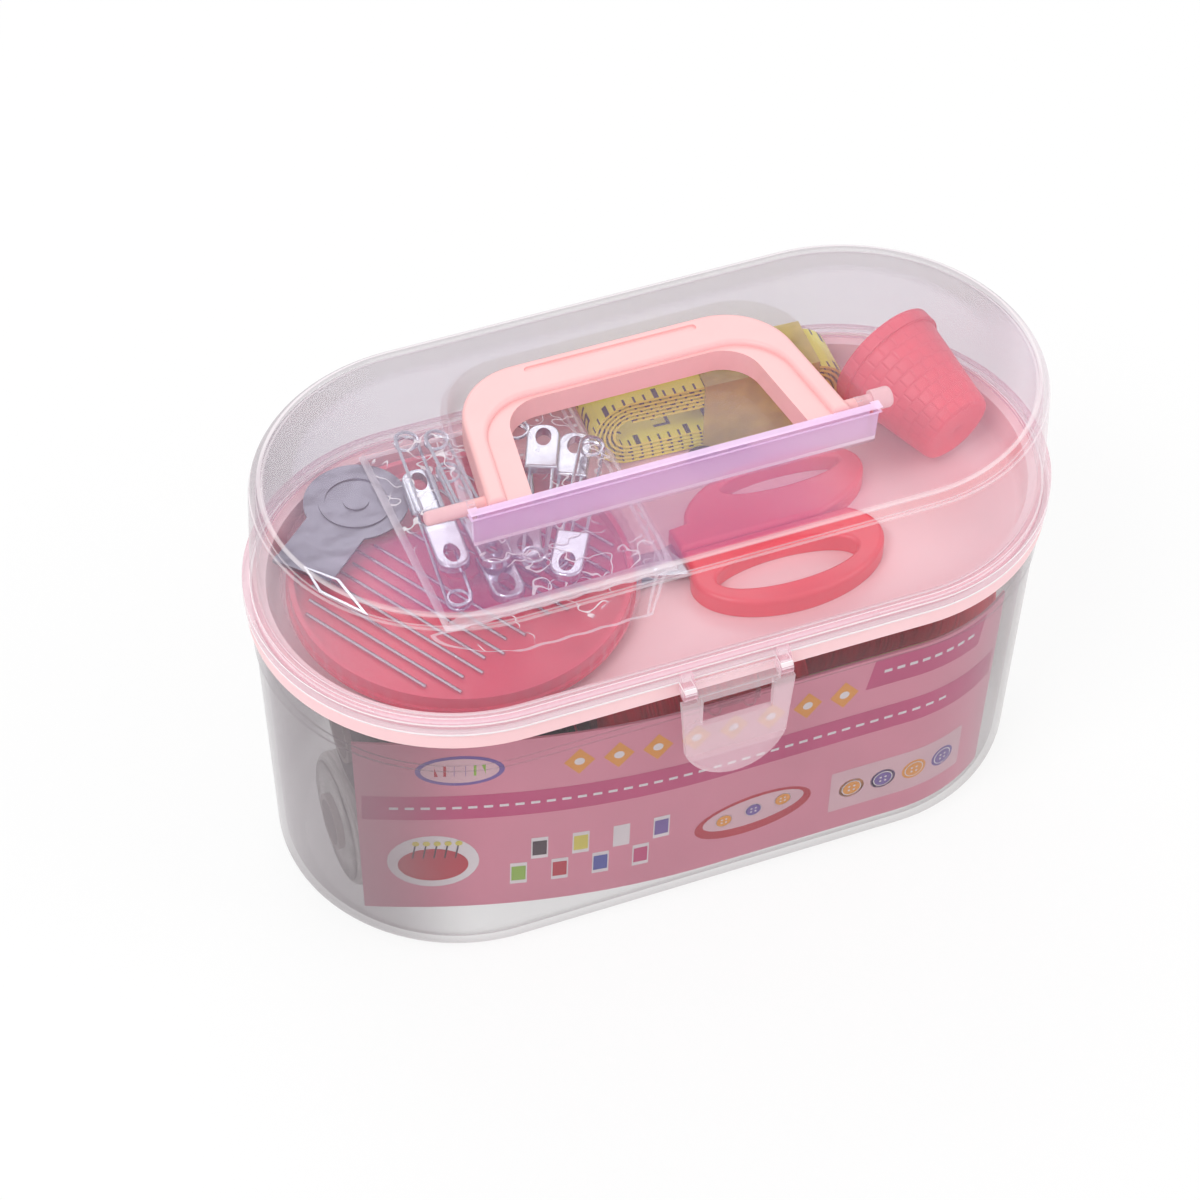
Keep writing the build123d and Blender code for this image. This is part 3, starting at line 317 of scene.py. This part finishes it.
grip_finish = Finish("grip red", tone(240, 66, 80), 0.3)
grip_finish.mottle(8, 0.05).rough(5, 0.24, 0.36).bump(grip_finish.noise(2), 0.02)
grip_finish.on("scissor_grip_fixed", "scissor_grip_moving")
case_finish = Finish("case crimson", tone(232, 56, 86), 0.3)
case_finish.mottle(10, 0.05).bump(case_finish.noise(1.5), 0.01)
case_finish.on("needle_case_dish", "needle_case_stud")
stud_finish = Finish("stud black", tone(30, 30, 34), 0.35)
stud_finish.mottle(2, 0.3).bump(stud_finish.noise(0.6), 0.02).on("press_studs")
sleeve_finish = Finish("sleeve olive", tone(212, 194, 92), 0.28)
sleeve_finish.mottle(5, 0.2).bump(sleeve_finish.noise(4.0), 0.5).on("tape_sleeve")
sleeve_finish.shader.inputs["Alpha"].default_value = 0.7
tube_finish = Finish("card tube", tone(170, 160, 156), 0.8)
tube_finish.mottle(2, 0.1).bump(tube_finish.noise(0.5), 0.03).on("spool_tubes")


# Thimble: rows of small bricks round its wall
thimble_finish = Finish("thimble coral", tone(236, 56, 70), 0.45)
thimble_axis = Vector((-0.3076, 0.93, 0.2011)).normalized()
thimble_end = Vector((61.6, -1.0, 69.9))
brick_rows_each_mm = 0.42
bricks_around = 22
brick_half = 0.38
brick_round = 0.05
brick_depth = 0.9


def thimble_relief():
    """Height of the brick rows, from the place along and round the thimble."""
    finish = thimble_finish
    turn = Vector((0, 0, 1)).rotation_difference(thimble_axis).inverted().to_matrix().to_4x4()
    coords = finish.node("ShaderNodeTexCoord").outputs["Object"]
    shift = finish.node("ShaderNodeVectorMath", operation="SUBTRACT")
    shift.inputs[1].default_value = thimble_end * MM
    finish.link(coords, shift.inputs[0])
    spin = finish.node("ShaderNodeMapping", vector_type="VECTOR")
    spin.inputs["Rotation"].default_value = turn.to_euler()
    spin.inputs["Scale"].default_value = [1 / MM] * 3
    finish.link(shift.outputs[0], spin.inputs["Vector"])
    x, y, z = finish.split(spin.outputs["Vector"])
    angle = finish.math("ARCTAN2", y, x)
    row = finish.math("MULTIPLY", z, brick_rows_each_mm)
    odd = finish.math("MULTIPLY", finish.math("MODULO", finish.math("FLOOR", row), 2.0), 0.5)
    column = finish.math("MULTIPLY_ADD", angle, bricks_around / (2 * math.pi), odd)
    edges = []
    for value in (row, column):
        from_middle = finish.math("SUBTRACT", finish.math("FRACT", value), 0.5)
        edges.append(finish.math("ABSOLUTE", from_middle))
    joint = finish.math("MAXIMUM", *edges)
    raised = finish.math("SMOOTH_MAX", joint, brick_half, brick_round)
    return finish.math("SUBTRACT", 1.0, raised)


thimble_finish.mottle(6, 0.06).bump(thimble_relief(), brick_depth).on("thimble")


# Meshes made in code
def new_piece(name, points, faces, finishes, face_slots=None, smooth=True):
    """Object from points in millimetres, riding on nothing yet."""
    mesh = bpy.data.meshes.new(name)
    mesh.from_pydata([[c * MM for c in p] for p in points], [], faces)
    for finish in finishes:
        mesh.materials.append(finish.material)
    if face_slots:
        mesh.polygons.foreach_set("material_index", face_slots)
    if smooth:
        mesh.shade_smooth()
    mesh.update()
    piece = bpy.data.objects.new(name, mesh)
    bpy.context.scene.collection.objects.link(piece)
    return piece


# Tape: the wound band, yellow with black marks along its faces
tape_width = 11.0
tape_thickness = 0.5
tape_pitch = 0.95
tape_turns = 5
tape_middle = 3.15
tape_half = 18.0
tape_end = 16.0
tape_yaw = math.radians(-3.0)
tape_sleeve_shift = 0.4
straight_steps = 8
bend_steps = 16
unmarked = 2.5


def tape_path():
    """Points of the band's middle line with their outward directions."""
    path = []

    def straight(start, end, z, facing):
        for step in range(straight_steps):
            path.append((start + (end - start) * step / straight_steps, z, 0.0, facing))

    def bend(centre_x, centre_z, size, start):
        for step in range(bend_steps):
            angle = start - math.pi * step / bend_steps
            out_x = math.cos(angle)
            out_z = math.sin(angle)
            path.append((centre_x + size * out_x, centre_z + size * out_z, out_x, out_z))

    for turn in range(tape_turns):
        size = tape_middle + turn * tape_pitch
        straight(-tape_half, tape_half, size, 1.0)
        bend(tape_half, 0.0, size, math.pi / 2)
        straight(tape_half, -tape_half, -size, -1.0)
        bend(-tape_half, tape_pitch / 2, size + tape_pitch / 2, -math.pi / 2)
    size = tape_middle + tape_turns * tape_pitch
    straight(-tape_half, tape_end, size, 1.0)
    path.append((tape_end, size, 0.0, 1.0))
    return path


def wound_tape(finish):
    """The band along its path, with the distance along it and across it as its map."""
    low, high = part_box("tape_roll")
    sleeve_low, sleeve_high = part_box("tape_sleeve")
    centre_x = (low[0] + high[0]) / 2 / MM
    centre_y = (sleeve_low[1] + sleeve_high[1]) / 2 / MM + tape_sleeve_shift
    centre_z = low[2] / MM + tape_middle + (tape_turns - 1) * tape_pitch + tape_thickness / 2
    points = []
    faces = []
    marks = []
    along = 0.0
    previous = None
    for x, z, out_x, out_z in tape_path():
        if previous:
            along += math.hypot(x - previous[0], z - previous[1])
        previous = (x, z)
        for side, across in ((1, -1), (1, 1), (-1, 1), (-1, -1)):
            local_x = x + side * out_x * tape_thickness / 2
            local_y = across * tape_width / 2
            points.append((
                centre_x + local_x * math.cos(tape_yaw) - local_y * math.sin(tape_yaw),
                centre_y + local_x * math.sin(tape_yaw) + local_y * math.cos(tape_yaw),
                centre_z + z + side * out_z * tape_thickness / 2,
            ))
            marks.append((along, local_y))
    rings = len(points) // 4
    for ring in range(rings - 1):
        for side in range(4):
            a = 4 * ring + side
            b = 4 * ring + (side + 1) % 4
            faces.append((a, b, b + 4, a + 4))
    faces.append((3, 2, 1, 0))
    faces.append(tuple(4 * (rings - 1) + side for side in range(4)))
    piece = new_piece("tape_band", points, faces, [finish], smooth=False)
    layer = piece.data.uv_layers.new(name="marks")
    for polygon in piece.data.polygons:
        for index in polygon.loop_indices:
            along, across = marks[piece.data.loops[index].vertex_index]
            layer.data[index].uv = (along, unmarked if polygon.index % 2 else across)
    return piece


tape_finish = Finish("tape yellow", tone(246, 240, 64), 0.45)


def tape_marks():
    """Share of black: ticks at both edges and a figure made of bars in every step."""
    finish = tape_finish
    fine_step = 2
    fine_share = 0.22
    fine_inner = 3.9
    bold_step = 10
    bold_share = 0.1
    bold_inner = 2.9
    left_out = 0.35
    uv = finish.node("ShaderNodeUVMap", uv_map="marks")
    along, across = finish.split(uv.outputs[0])[:2]
    size = finish.math("ABSOLUTE", across)
    fine_place = finish.math("FRACT", finish.math("MULTIPLY", along, 1 / fine_step))
    steps_along = finish.math("MULTIPLY", along, 1 / bold_step)
    bold_place = finish.math("FRACT", steps_along)
    fine = finish.math("LESS_THAN", fine_place, fine_share)
    bold = finish.math("LESS_THAN", bold_place, bold_share)
    ticks = finish.math("MULTIPLY", fine, finish.math("GREATER_THAN", size, fine_inner))
    long_ticks = finish.math("MULTIPLY", bold, finish.math("GREATER_THAN", size, bold_inner))
    local = finish.math("MULTIPLY", bold_place, bold_step)
    number = finish.math("FLOOR", steps_along)
    total = finish.math("MAXIMUM", ticks, long_ticks)
    bars = (
        ((3.0, 3.7), (-2.0, 0.0)),
        ((3.0, 3.7), (0.0, 2.0)),
        ((5.6, 6.3), (-2.0, 0.0)),
        ((5.6, 6.3), (0.0, 2.0)),
        ((3.0, 6.3), (1.4, 2.0)),
        ((3.0, 6.3), (-0.3, 0.3)),
        ((3.0, 6.3), (-2.0, -1.4)),
    )
    for index, (wide, tall) in enumerate(bars):
        in_width = between(finish, local, *wide, 0.05)
        in_height = between(finish, across, *tall, 0.05)
        shape = finish.math("MULTIPLY", in_width, in_height)
        chance = finish.math("FRACT", finish.math("MULTIPLY_ADD", number, 0.377, 0.29 * index))
        shape = finish.math("MULTIPLY", shape, finish.math("GREATER_THAN", chance, left_out))
        total = finish.math("MAXIMUM", total, shape)
    return total


tape_finish.paint(tape_finish.mix(tape_marks(), tape_finish.color, tone(26, 28, 24)))
tape_finish.bump(tape_finish.noise(0.6), 0.02)
tape_band = wound_tape(tape_finish)
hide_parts("tape_roll")
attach(tape_band, "box")


# Thread: fine ridges and strands round each spool
spool_step = 43.6
spool_sides = 56
spool_ridges = 148
spool_bore = 5.6
spool_end_round = 1.3
spool_end_curve = 0.5
ridge_height = 0.09
ridge_inset = 0.15
thread_tones = {
    "thread_black": tone(34, 33, 38),
    "thread_white": tone(236, 236, 232),
    "thread_dark_red": tone(244, 30, 62),
    "thread_pink": tone(232, 150, 170),
    "thread_blue": tone(60, 84, 160),
    "thread_green": tone(58, 130, 84),
    "thread_yellow": tone(232, 206, 92),
}


def spool_boxes(name):
    """Extent of each spool of one colour, left to right, in millimetres."""
    columns = {}
    for vertex in nodes[name].data.vertices:
        place = nodes[name].matrix_world @ vertex.co / MM
        columns.setdefault(round(place.x / spool_step), []).append(place)
    boxes = []
    for column in sorted(columns):
        group = columns[column]
        boxes.append([(min(p[axis] for p in group), max(p[axis] for p in group)) for axis in range(3)])
    return boxes


def wound_spool(points, faces, box):
    """Ridged body of wound thread with rounded, sunk ends."""
    place = [(low + high) / 2 for low, high in box]
    radius = (box[2][1] - box[2][0]) / 2
    spool_length = box[0][1] - box[0][0]
    rings = []
    for step in range(spool_ridges + 1):
        share = step / spool_ridges
        x = (share - 0.5) * spool_length
        end = min(share, 1 - share) * spool_length
        drop = max(0.0, spool_end_round - end)
        body = radius - ridge_inset - spool_end_curve * drop * drop
        rings.append((x, body + ridge_height * math.cos(math.pi * step)))
    rings = [(-spool_length / 2, spool_bore)] + rings + [(spool_length / 2, spool_bore)]
    base = len(points)
    for x, size in rings:
        for turn in range(spool_sides):
            angle = 2 * math.pi * turn / spool_sides
            y = place[1] + size * math.cos(angle)
            z = place[2] + size * math.sin(angle)
            points.append((place[0] + x, y, z))
    for ring in range(len(rings) - 1):
        for turn in range(spool_sides):
            a = base + ring * spool_sides + turn
            b = base + ring * spool_sides + (turn + 1) % spool_sides
            faces.append((a, b, b + spool_sides, a + spool_sides))


for name, color in thread_tones.items():
    title = name.replace("_", " ")
    thread_finish = Finish(title, color, 0.7, Sheen_Weight=0.15, Sheen_Tint=color)
    strands = thread_finish.noise(0.5, stretch=(1, 0.06, 0.06))
    # The colour darkens to 72 percent where the strand noise, which also makes the relief, is low.
    deep = tuple(c * 0.72 for c in color[:3]) + (1,)
    thread_finish.paint(thread_finish.ramp(strands, [(0.36, deep), (0.56, color)]))
    thread_finish.bump(strands, 0.16)
    points = []
    faces = []
    for box in spool_boxes(name):
        wound_spool(points, faces, box)
    piece = new_piece(name + "_winds", points, faces, [thread_finish])
    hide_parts(name)
    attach(piece, "box")


# Label card: plain bands and sewing motifs printed on its face
tub_band_z = 54.5
tub_band_radius = 36.9
tub_slope = math.tan(math.radians(2.2))
card_inset = 1.6
card_bend = 158.0
print_lift = 0.035


def card_point(along, height, out=0.0):
    """Point on the card's outer face, from the distance along it and its height."""
    size = tub_band_radius - (tub_band_z - height) * tub_slope - card_inset
    if along < 0:
        bend = card_bend + out
        angle = along / card_bend
        return (bend * math.sin(angle), card_bend - size - bend * math.cos(angle), height)
    if along < half_straight:
        return (along, -size - out, height)
    angle = (along - half_straight) / size
    size += out
    return (half_straight + size * math.sin(angle), -size * math.cos(angle), height)


card_finish = Finish("card print ground", tone(230, 146, 168), 0.5)
card_finish.mottle(20, 0.04).bump(card_finish.noise(0.8), 0.01).on("label_card")
print_tones = {
    "magenta": tone(206, 70, 126),
    "pale": tone(232, 190, 200),
    "gold": tone(240, 160, 60),
    "violet": tone(120, 92, 168),
    "white": tone(240, 232, 236),
    "red": tone(196, 40, 60),
    "green": tone(150, 190, 70),
    "yellow": tone(228, 214, 90),
    "blue": tone(70, 84, 170),
    "dark": tone(60, 40, 52),
}
print_order = list(print_tones)
print_finishes = []
for label, color in print_tones.items():
    print_finishes.append(Finish("card print " + label, color, 0.5).mottle(12, 0.05))
prints = []


def ink(label, outline, layer=1):
    """Flat print with one colour, laid over the prints of lower layers."""
    prints.append((print_order.index(label), outline, layer))


def block(label, left, low, right, high, lean=0.0, layer=1):
    """Upright or leaning four-sided print."""
    ink(label, [(left, low), (right, low), (right + lean, high), (left + lean, high)], layer)


def oval(label, x, z, half, tall=None, layer=1, turn=0.0, count=28):
    """Round or oval print, turned by an angle."""
    tall = half if tall is None else tall
    outline = []
    for step in range(count):
        angle = 2 * math.pi * step / count
        a = half * math.cos(angle)
        b = tall * math.sin(angle)
        place = (a * math.cos(turn) - b * math.sin(turn), a * math.sin(turn) + b * math.cos(turn))
        outline.append((x + place[0], z + place[1]))
    ink(label, outline, layer)


def button(label, x, z, size):
    """Print of a button with a rim and four holes."""
    oval(label, x, z, size, layer=1)
    oval("white", x, z, size * 0.78, layer=2)
    oval(label, x, z, size * 0.7, layer=3)
    for dx, dz in ((-1, -1), (1, -1), (1, 1), (-1, 1)):
        oval("white", x + dx * size * 0.2, z + dz * size * 0.2, size * 0.1, layer=4, count=12)


def bobbin(label, x, z, wide, tall):
    """Print of a small spool of thread."""
    block("white", x - wide / 2, z - tall / 2, x + wide / 2, z + tall / 2, layer=1)
    block(label, x - wide * 0.42, z - tall * 0.34, x + wide * 0.42, z + tall * 0.34, layer=2)


def stitches(label, left, z, count, step, size, tall):
    """Print of a dashed seam."""
    for index in range(count):
        block(label, left + index * step, z, left + index * step + size, z + tall, layer=2)


def motifs():
    """Bands, seams, buttons, spools, diamonds and a pin cushion, placed on the card."""
    block("magenta", -67.0, 31.4, 60.0, 38.2)
    stitches("white", -62, 34.4, 38, 2.9, 1.7, 0.7)
    block("magenta", 29.0, 44.6, 54.0, 52.2, lean=1.5)
    stitches("white", 32.5, 48.2, 8, 2.6, 1.6, 0.8)
    block("pale", 24.0, 10.5, 53.0, 22.0)
    for index in range(4):
        button("violet" if index % 2 else "gold", 28.5 + index * 6.6, 16.2, 2.6)
    for index in range(8):
        x = -30.0 + index * 7.4
        ink("gold", [(x, 45.0), (x + 2.9, 41.4), (x + 5.8, 45.0), (x + 2.9, 48.6)], 1)
        oval("white", x + 2.9, 45.0, 1.0, layer=2, count=12)
    oval("violet", -49.0, 45.4, 8.2, 4.2, layer=1)
    oval("pale", -49.0, 45.4, 7.2, 3.4, layer=2)
    bobbin("red", -52.6, 45.4, 2.6, 4.4)
    bobbin("violet", -49.0, 45.4, 2.6, 4.4)
    bobbin("green", -45.4, 45.4, 2.6, 4.4)
    oval("white", -54.0, 19.0, 8.6, 7.6, layer=1)
    oval("red", -54.0, 18.0, 6.6, 4.8, layer=2)
    for index in range(5):
        x = -58.0 + index * 2.0
        ink("dark", [(x, 20.0), (x + 0.3, 20.0), (x + 0.9, 24.2), (x + 0.6, 24.2)], 3)
        oval("yellow", x + 0.8, 24.4, 0.7, layer=4, count=10)
    labels = ("green", "dark", "red", "yellow", "blue", "white", "magenta", "violet")
    for index, label in enumerate(labels):
        bobbin(label, -38.0 + index * 3.9, 14.0 + (index % 2) * 7.0, 3.2, 6.2)
    oval("red", 8.0, 17.4, 12.0, 5.4, layer=1, turn=0.08)
    oval("pale", 8.0, 18.2, 10.4, 3.8, layer=2, turn=0.08)
    button("gold", 2.0, 17.6, 2.2)
    button("violet", 8.0, 18.4, 2.2)
    button("gold", 14.0, 19.0, 2.2)


def print_card():
    """Flat prints cut into narrow strips and laid on the card's face."""
    strip = 2
    points = []
    faces = []
    slots = []
    for slot, outline, layer in prints:
        flat = bmesh.new()
        flat.faces.new([flat.verts.new((x, z, 0)) for x, z in outline])
        low = min(x for x, z in outline)
        high = max(x for x, z in outline)
        cut = math.floor(low / strip) * strip + strip
        while cut < high:
            bmesh.ops.bisect_plane(
                flat,
                geom=flat.verts[:] + flat.edges[:] + flat.faces[:],
                plane_co=(cut, 0, 0),
                plane_no=(1, 0, 0),
            )
            cut += strip
        flat.verts.index_update()
        base = len(points)
        points += [card_point(v.co.x, v.co.y, print_lift * layer) for v in flat.verts]
        for face in flat.faces:
            faces.append([base + v.index for v in face.verts])
            slots.append(slot)
        flat.free()
    return new_piece("card_print", points, faces, print_finishes, slots, smooth=False)


motifs()
card_print = print_card()
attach(card_print, "box")


# Bag round the safety pins: two sheets of thin film, the upper one crumpled, and a loose front flap
film_finish = clear_plastic("bag film", tone(250, 232, 248), tone(255, 252, 255), 0.01, 0.12, 0.05, 6)
film_finish.bump(film_finish.noise(3.0, detail=5), 0.5)
# Thin white lines over patches of the film: painted glints on the crinkles.
glint_line = between(film_finish, film_finish.noise(9, detail=2), 0.495, 0.505, 0.005)
glint_place = between(film_finish, film_finish.noise(17, detail=1), 0.53, 1.0, 0.05)
film_glint = film_finish.math("MULTIPLY", glint_line, glint_place)
tint(film_finish, film_glint, tone(255, 255, 255), 0.75)
film_edge = Finish("bag film edge", tone(252, 244, 252), 0.1, Alpha=0.42)
film_edge.mottle(2, 0.05).bump(film_edge.noise(1.2), 0.1)
bag_low, bag_high = [[c / MM for c in corner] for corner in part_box("pin_bag")]
film_columns = 60
flap_depth = 9.5
right_edge_turn = 15
random.seed(11)
creases = []
for index in range(34):
    angle = random.uniform(0, math.pi)
    creases.append((
        random.uniform(bag_low[0], bag_high[0]),
        random.uniform(bag_low[1] - 8, bag_high[1]),
        math.cos(angle),
        math.sin(angle),
        random.uniform(0.25, 0.8),
        random.uniform(1.5, 4.0),
        random.uniform(5.0, 14.0),
    ))


def crease_height(x, y):
    """Height of the sharpest fold at a place of the film."""
    total = 0.0
    for at_x, at_y, along_x, along_y, rise, width, reach in creases:
        off_x = x - at_x
        off_y = y - at_y
        across = abs(off_x * along_y - off_y * along_x)
        along = abs(off_x * along_x + off_y * along_y)
        if across < width and along < reach:
            total = max(total, rise * (1 - across / width) * (1 - along / reach))
    return total


def film_sheet(name, outline_x, rows, height):
    """Sheet between two edge lines, with its height from a function."""
    points = []
    faces = []
    across = film_columns + 1
    for y in rows:
        left, right = outline_x(y)
        for column in range(across):
            x = left + (right - left) * column / film_columns
            points.append((x, y, height(x, y, left, right)))
    slots = []
    seams = (0, film_columns - 3, film_columns - 1)
    for row in range(len(rows) - 1):
        for column in range(film_columns):
            a = row * across + column
            faces.append((a, a + 1, a + across + 1, a + across))
            slots.append(int(row in (0, len(rows) - 2) or column in seams))
    return new_piece(name, points, faces, [film_finish, film_edge], slots, smooth=False)


def bag_edges(y):
    """Left and right edge of the bag at a distance along it."""
    past_turn = max(0.0, y - right_edge_turn)
    return bag_low[0], max(bag_high[0] - 2.6, bag_high[0] - 0.45 * past_turn)


def upper_height(x, y, left, right):
    """The upper sheet rises from the edges over the pins."""
    slope_width = 4.0
    rise = 1.0
    for distance in (x - left, right - x, y - bag_low[1], bag_high[1] - y):
        rise *= min(1.0, max(0.0, distance) / slope_width) ** 0.4
    base = bag_low[2] + 0.3
    return base + (bag_high[2] - 1.1 - base) * rise + crease_height(x, y) * rise


def lower_height(x, y, left, right):
    """The lower sheet lies nearly flat."""
    return bag_low[2] + 0.1 + 0.06 * math.sin(0.9 * x) * math.cos(0.8 * y)


def flap_edges(y):
    """The flap narrows towards its front."""
    share = (bag_low[1] - y) / 10.0
    return bag_low[0] - 3.0 + 15.0 * share * share, bag_high[0] - 2.0 - 7.0 * share


def flap_height(x, y, left, right):
    """The flap lies low with a few waves."""
    return bag_low[2] + 0.5 + 0.7 * crease_height(x, y) + 0.15 * math.sin(1.1 * x + 0.6 * y)


def steps(low, high, count):
    """Evenly spaced values from one to another."""
    return [low + (high - low) * step / count for step in range(count + 1)]


bag_front = bag_low[1]
bag_back = bag_high[1]
upper_film = film_sheet("pin_bag_film", bag_edges, steps(bag_front, bag_back, 66), upper_height)
lower_film = film_sheet("pin_bag_base", bag_edges, steps(bag_front, bag_back, 40), lower_height)
flap_rows = steps(bag_front - flap_depth, bag_front, 16)
front_flap = film_sheet("pin_bag_flap", flap_edges, flap_rows, flap_height)
finish_clear(film_finish)
for film in (upper_film, lower_film, front_flap):
    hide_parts("pin_bag")
    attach(film, "box")


# Camera at the photograph's angle and framing
turn_angle = math.radians(-22.356)
lift_angle = math.radians(46.2)
roll_angle = math.radians(-1.1)
view_distance = 700
view_left = 9.402
view_down = 14.033
aim_height = 65.5
back = Vector((
    math.sin(turn_angle) * math.cos(lift_angle),
    -math.cos(turn_angle) * math.cos(lift_angle),
    math.sin(lift_angle),
))
right = Vector((math.cos(turn_angle), math.sin(turn_angle), 0))
up = back.cross(right)
centre = back * view_distance - right * view_left - up * view_down + Vector((0, 0, aim_height))
camera_right = math.cos(roll_angle) * right - math.sin(roll_angle) * up
camera_up = math.sin(roll_angle) * right + math.cos(roll_angle) * up
camera_rows = []
for axis in range(3):
    camera_rows.append((camera_right[axis], camera_up[axis], back[axis], centre[axis] * MM))
camera_data = bpy.data.cameras.new("camera")
camera_data.lens = 113.39
camera_data.sensor_width = 36
camera_data.sensor_fit = "HORIZONTAL"
camera_data.clip_start = 0.05
camera_data.clip_end = 20
camera = bpy.data.objects.new("camera", camera_data)
camera.matrix_world = Matrix((*camera_rows, (0, 0, 0, 1)))
bpy.context.scene.collection.objects.link(camera)
bpy.context.scene.camera = camera


# Lamps, floor and surroundings
lamp_target = Vector((0, 0, 0.05))
floor_half = 4
floor_glow = 0.86
world_light = 0.66


def lamp(name, place, size, power):
    """White rectangular lamp that points at the box."""
    data = bpy.data.lights.new(name, "AREA")
    data.shape = "RECTANGLE"
    data.size = size[0]
    data.size_y = size[1]
    data.energy = power
    made = bpy.data.objects.new(name, data)
    made.location = place
    aim = lamp_target - Vector(place)
    made.rotation_euler = aim.to_track_quat("-Z", "Y").to_euler()
    bpy.context.scene.collection.objects.link(made)


lamp("key lamp", (-0.55, -0.35, 0.9), (0.45, 0.3), 4.3)
lamp("fill lamp", (0.8, -0.5, 0.6), (0.6, 0.5), 2.5)
lamp("back lamp", (0.1, 0.9, 0.8), (0.9, 0.4), 3.0)

floor_mesh = bpy.data.meshes.new("floor")
floor_signs = ((-1, -1), (1, -1), (1, 1), (-1, 1))
floor_corners = [(floor_half * x, floor_half * y, 0) for x, y in floor_signs]
floor_mesh.from_pydata(floor_corners, [], [(0, 1, 2, 3)])
floor = bpy.data.objects.new("floor", floor_mesh)
bpy.context.scene.collection.objects.link(floor)
floor_finish = Finish("floor", (0.9, 0.9, 0.9, 1), 0.9)
path = floor_finish.node("ShaderNodeLightPath")
seen = floor_finish.math("MAXIMUM", path.outputs["Is Camera Ray"], path.outputs["Is Glossy Ray"])
seen = floor_finish.math("MAXIMUM", seen, path.outputs["Is Transmission Ray"])
glow = floor_finish.node("ShaderNodeEmission", Color=(1, 1, 1, 1), Strength=1.0)
blend_shader = floor_finish.node("ShaderNodeMixShader")
floor_finish.link(floor_finish.math("MULTIPLY", seen, floor_glow), blend_shader.inputs[0])
floor_finish.link(floor_finish.shader.outputs[0], blend_shader.inputs[1])
floor_finish.link(glow.outputs[0], blend_shader.inputs[2])
output = floor_finish.tree.nodes["Material Output"]
floor_finish.link(blend_shader.outputs[0], output.inputs["Surface"])
floor_mesh.materials.append(floor_finish.material)

world = bpy.data.worlds.new("world")
bpy.context.scene.world = world
world.use_nodes = True
world_tree = world.node_tree
background = world_tree.nodes["Background"]
world_path = world_tree.nodes.new("ShaderNodeLightPath")
strength = world_tree.nodes.new("ShaderNodeMapRange")
strength.inputs["To Min"].default_value = world_light
strength.inputs["To Max"].default_value = 1.0
world_seen = world_path.outputs["Is Camera Ray"]
for ray in ("Is Glossy Ray", "Is Transmission Ray"):
    brighter = world_tree.nodes.new("ShaderNodeMath")
    brighter.operation = "MAXIMUM"
    world_tree.links.new(world_seen, brighter.inputs[0])
    world_tree.links.new(world_path.outputs[ray], brighter.inputs[1])
    world_seen = brighter.outputs[0]
world_tree.links.new(world_seen, strength.inputs["Value"])
world_tree.links.new(strength.outputs[0], background.inputs["Strength"])
background.inputs["Color"].default_value = (1, 1, 1, 1)

bpy.context.scene.view_settings.view_transform = "Standard"
bpy.context.scene.cycles.transparent_max_bounces = 24
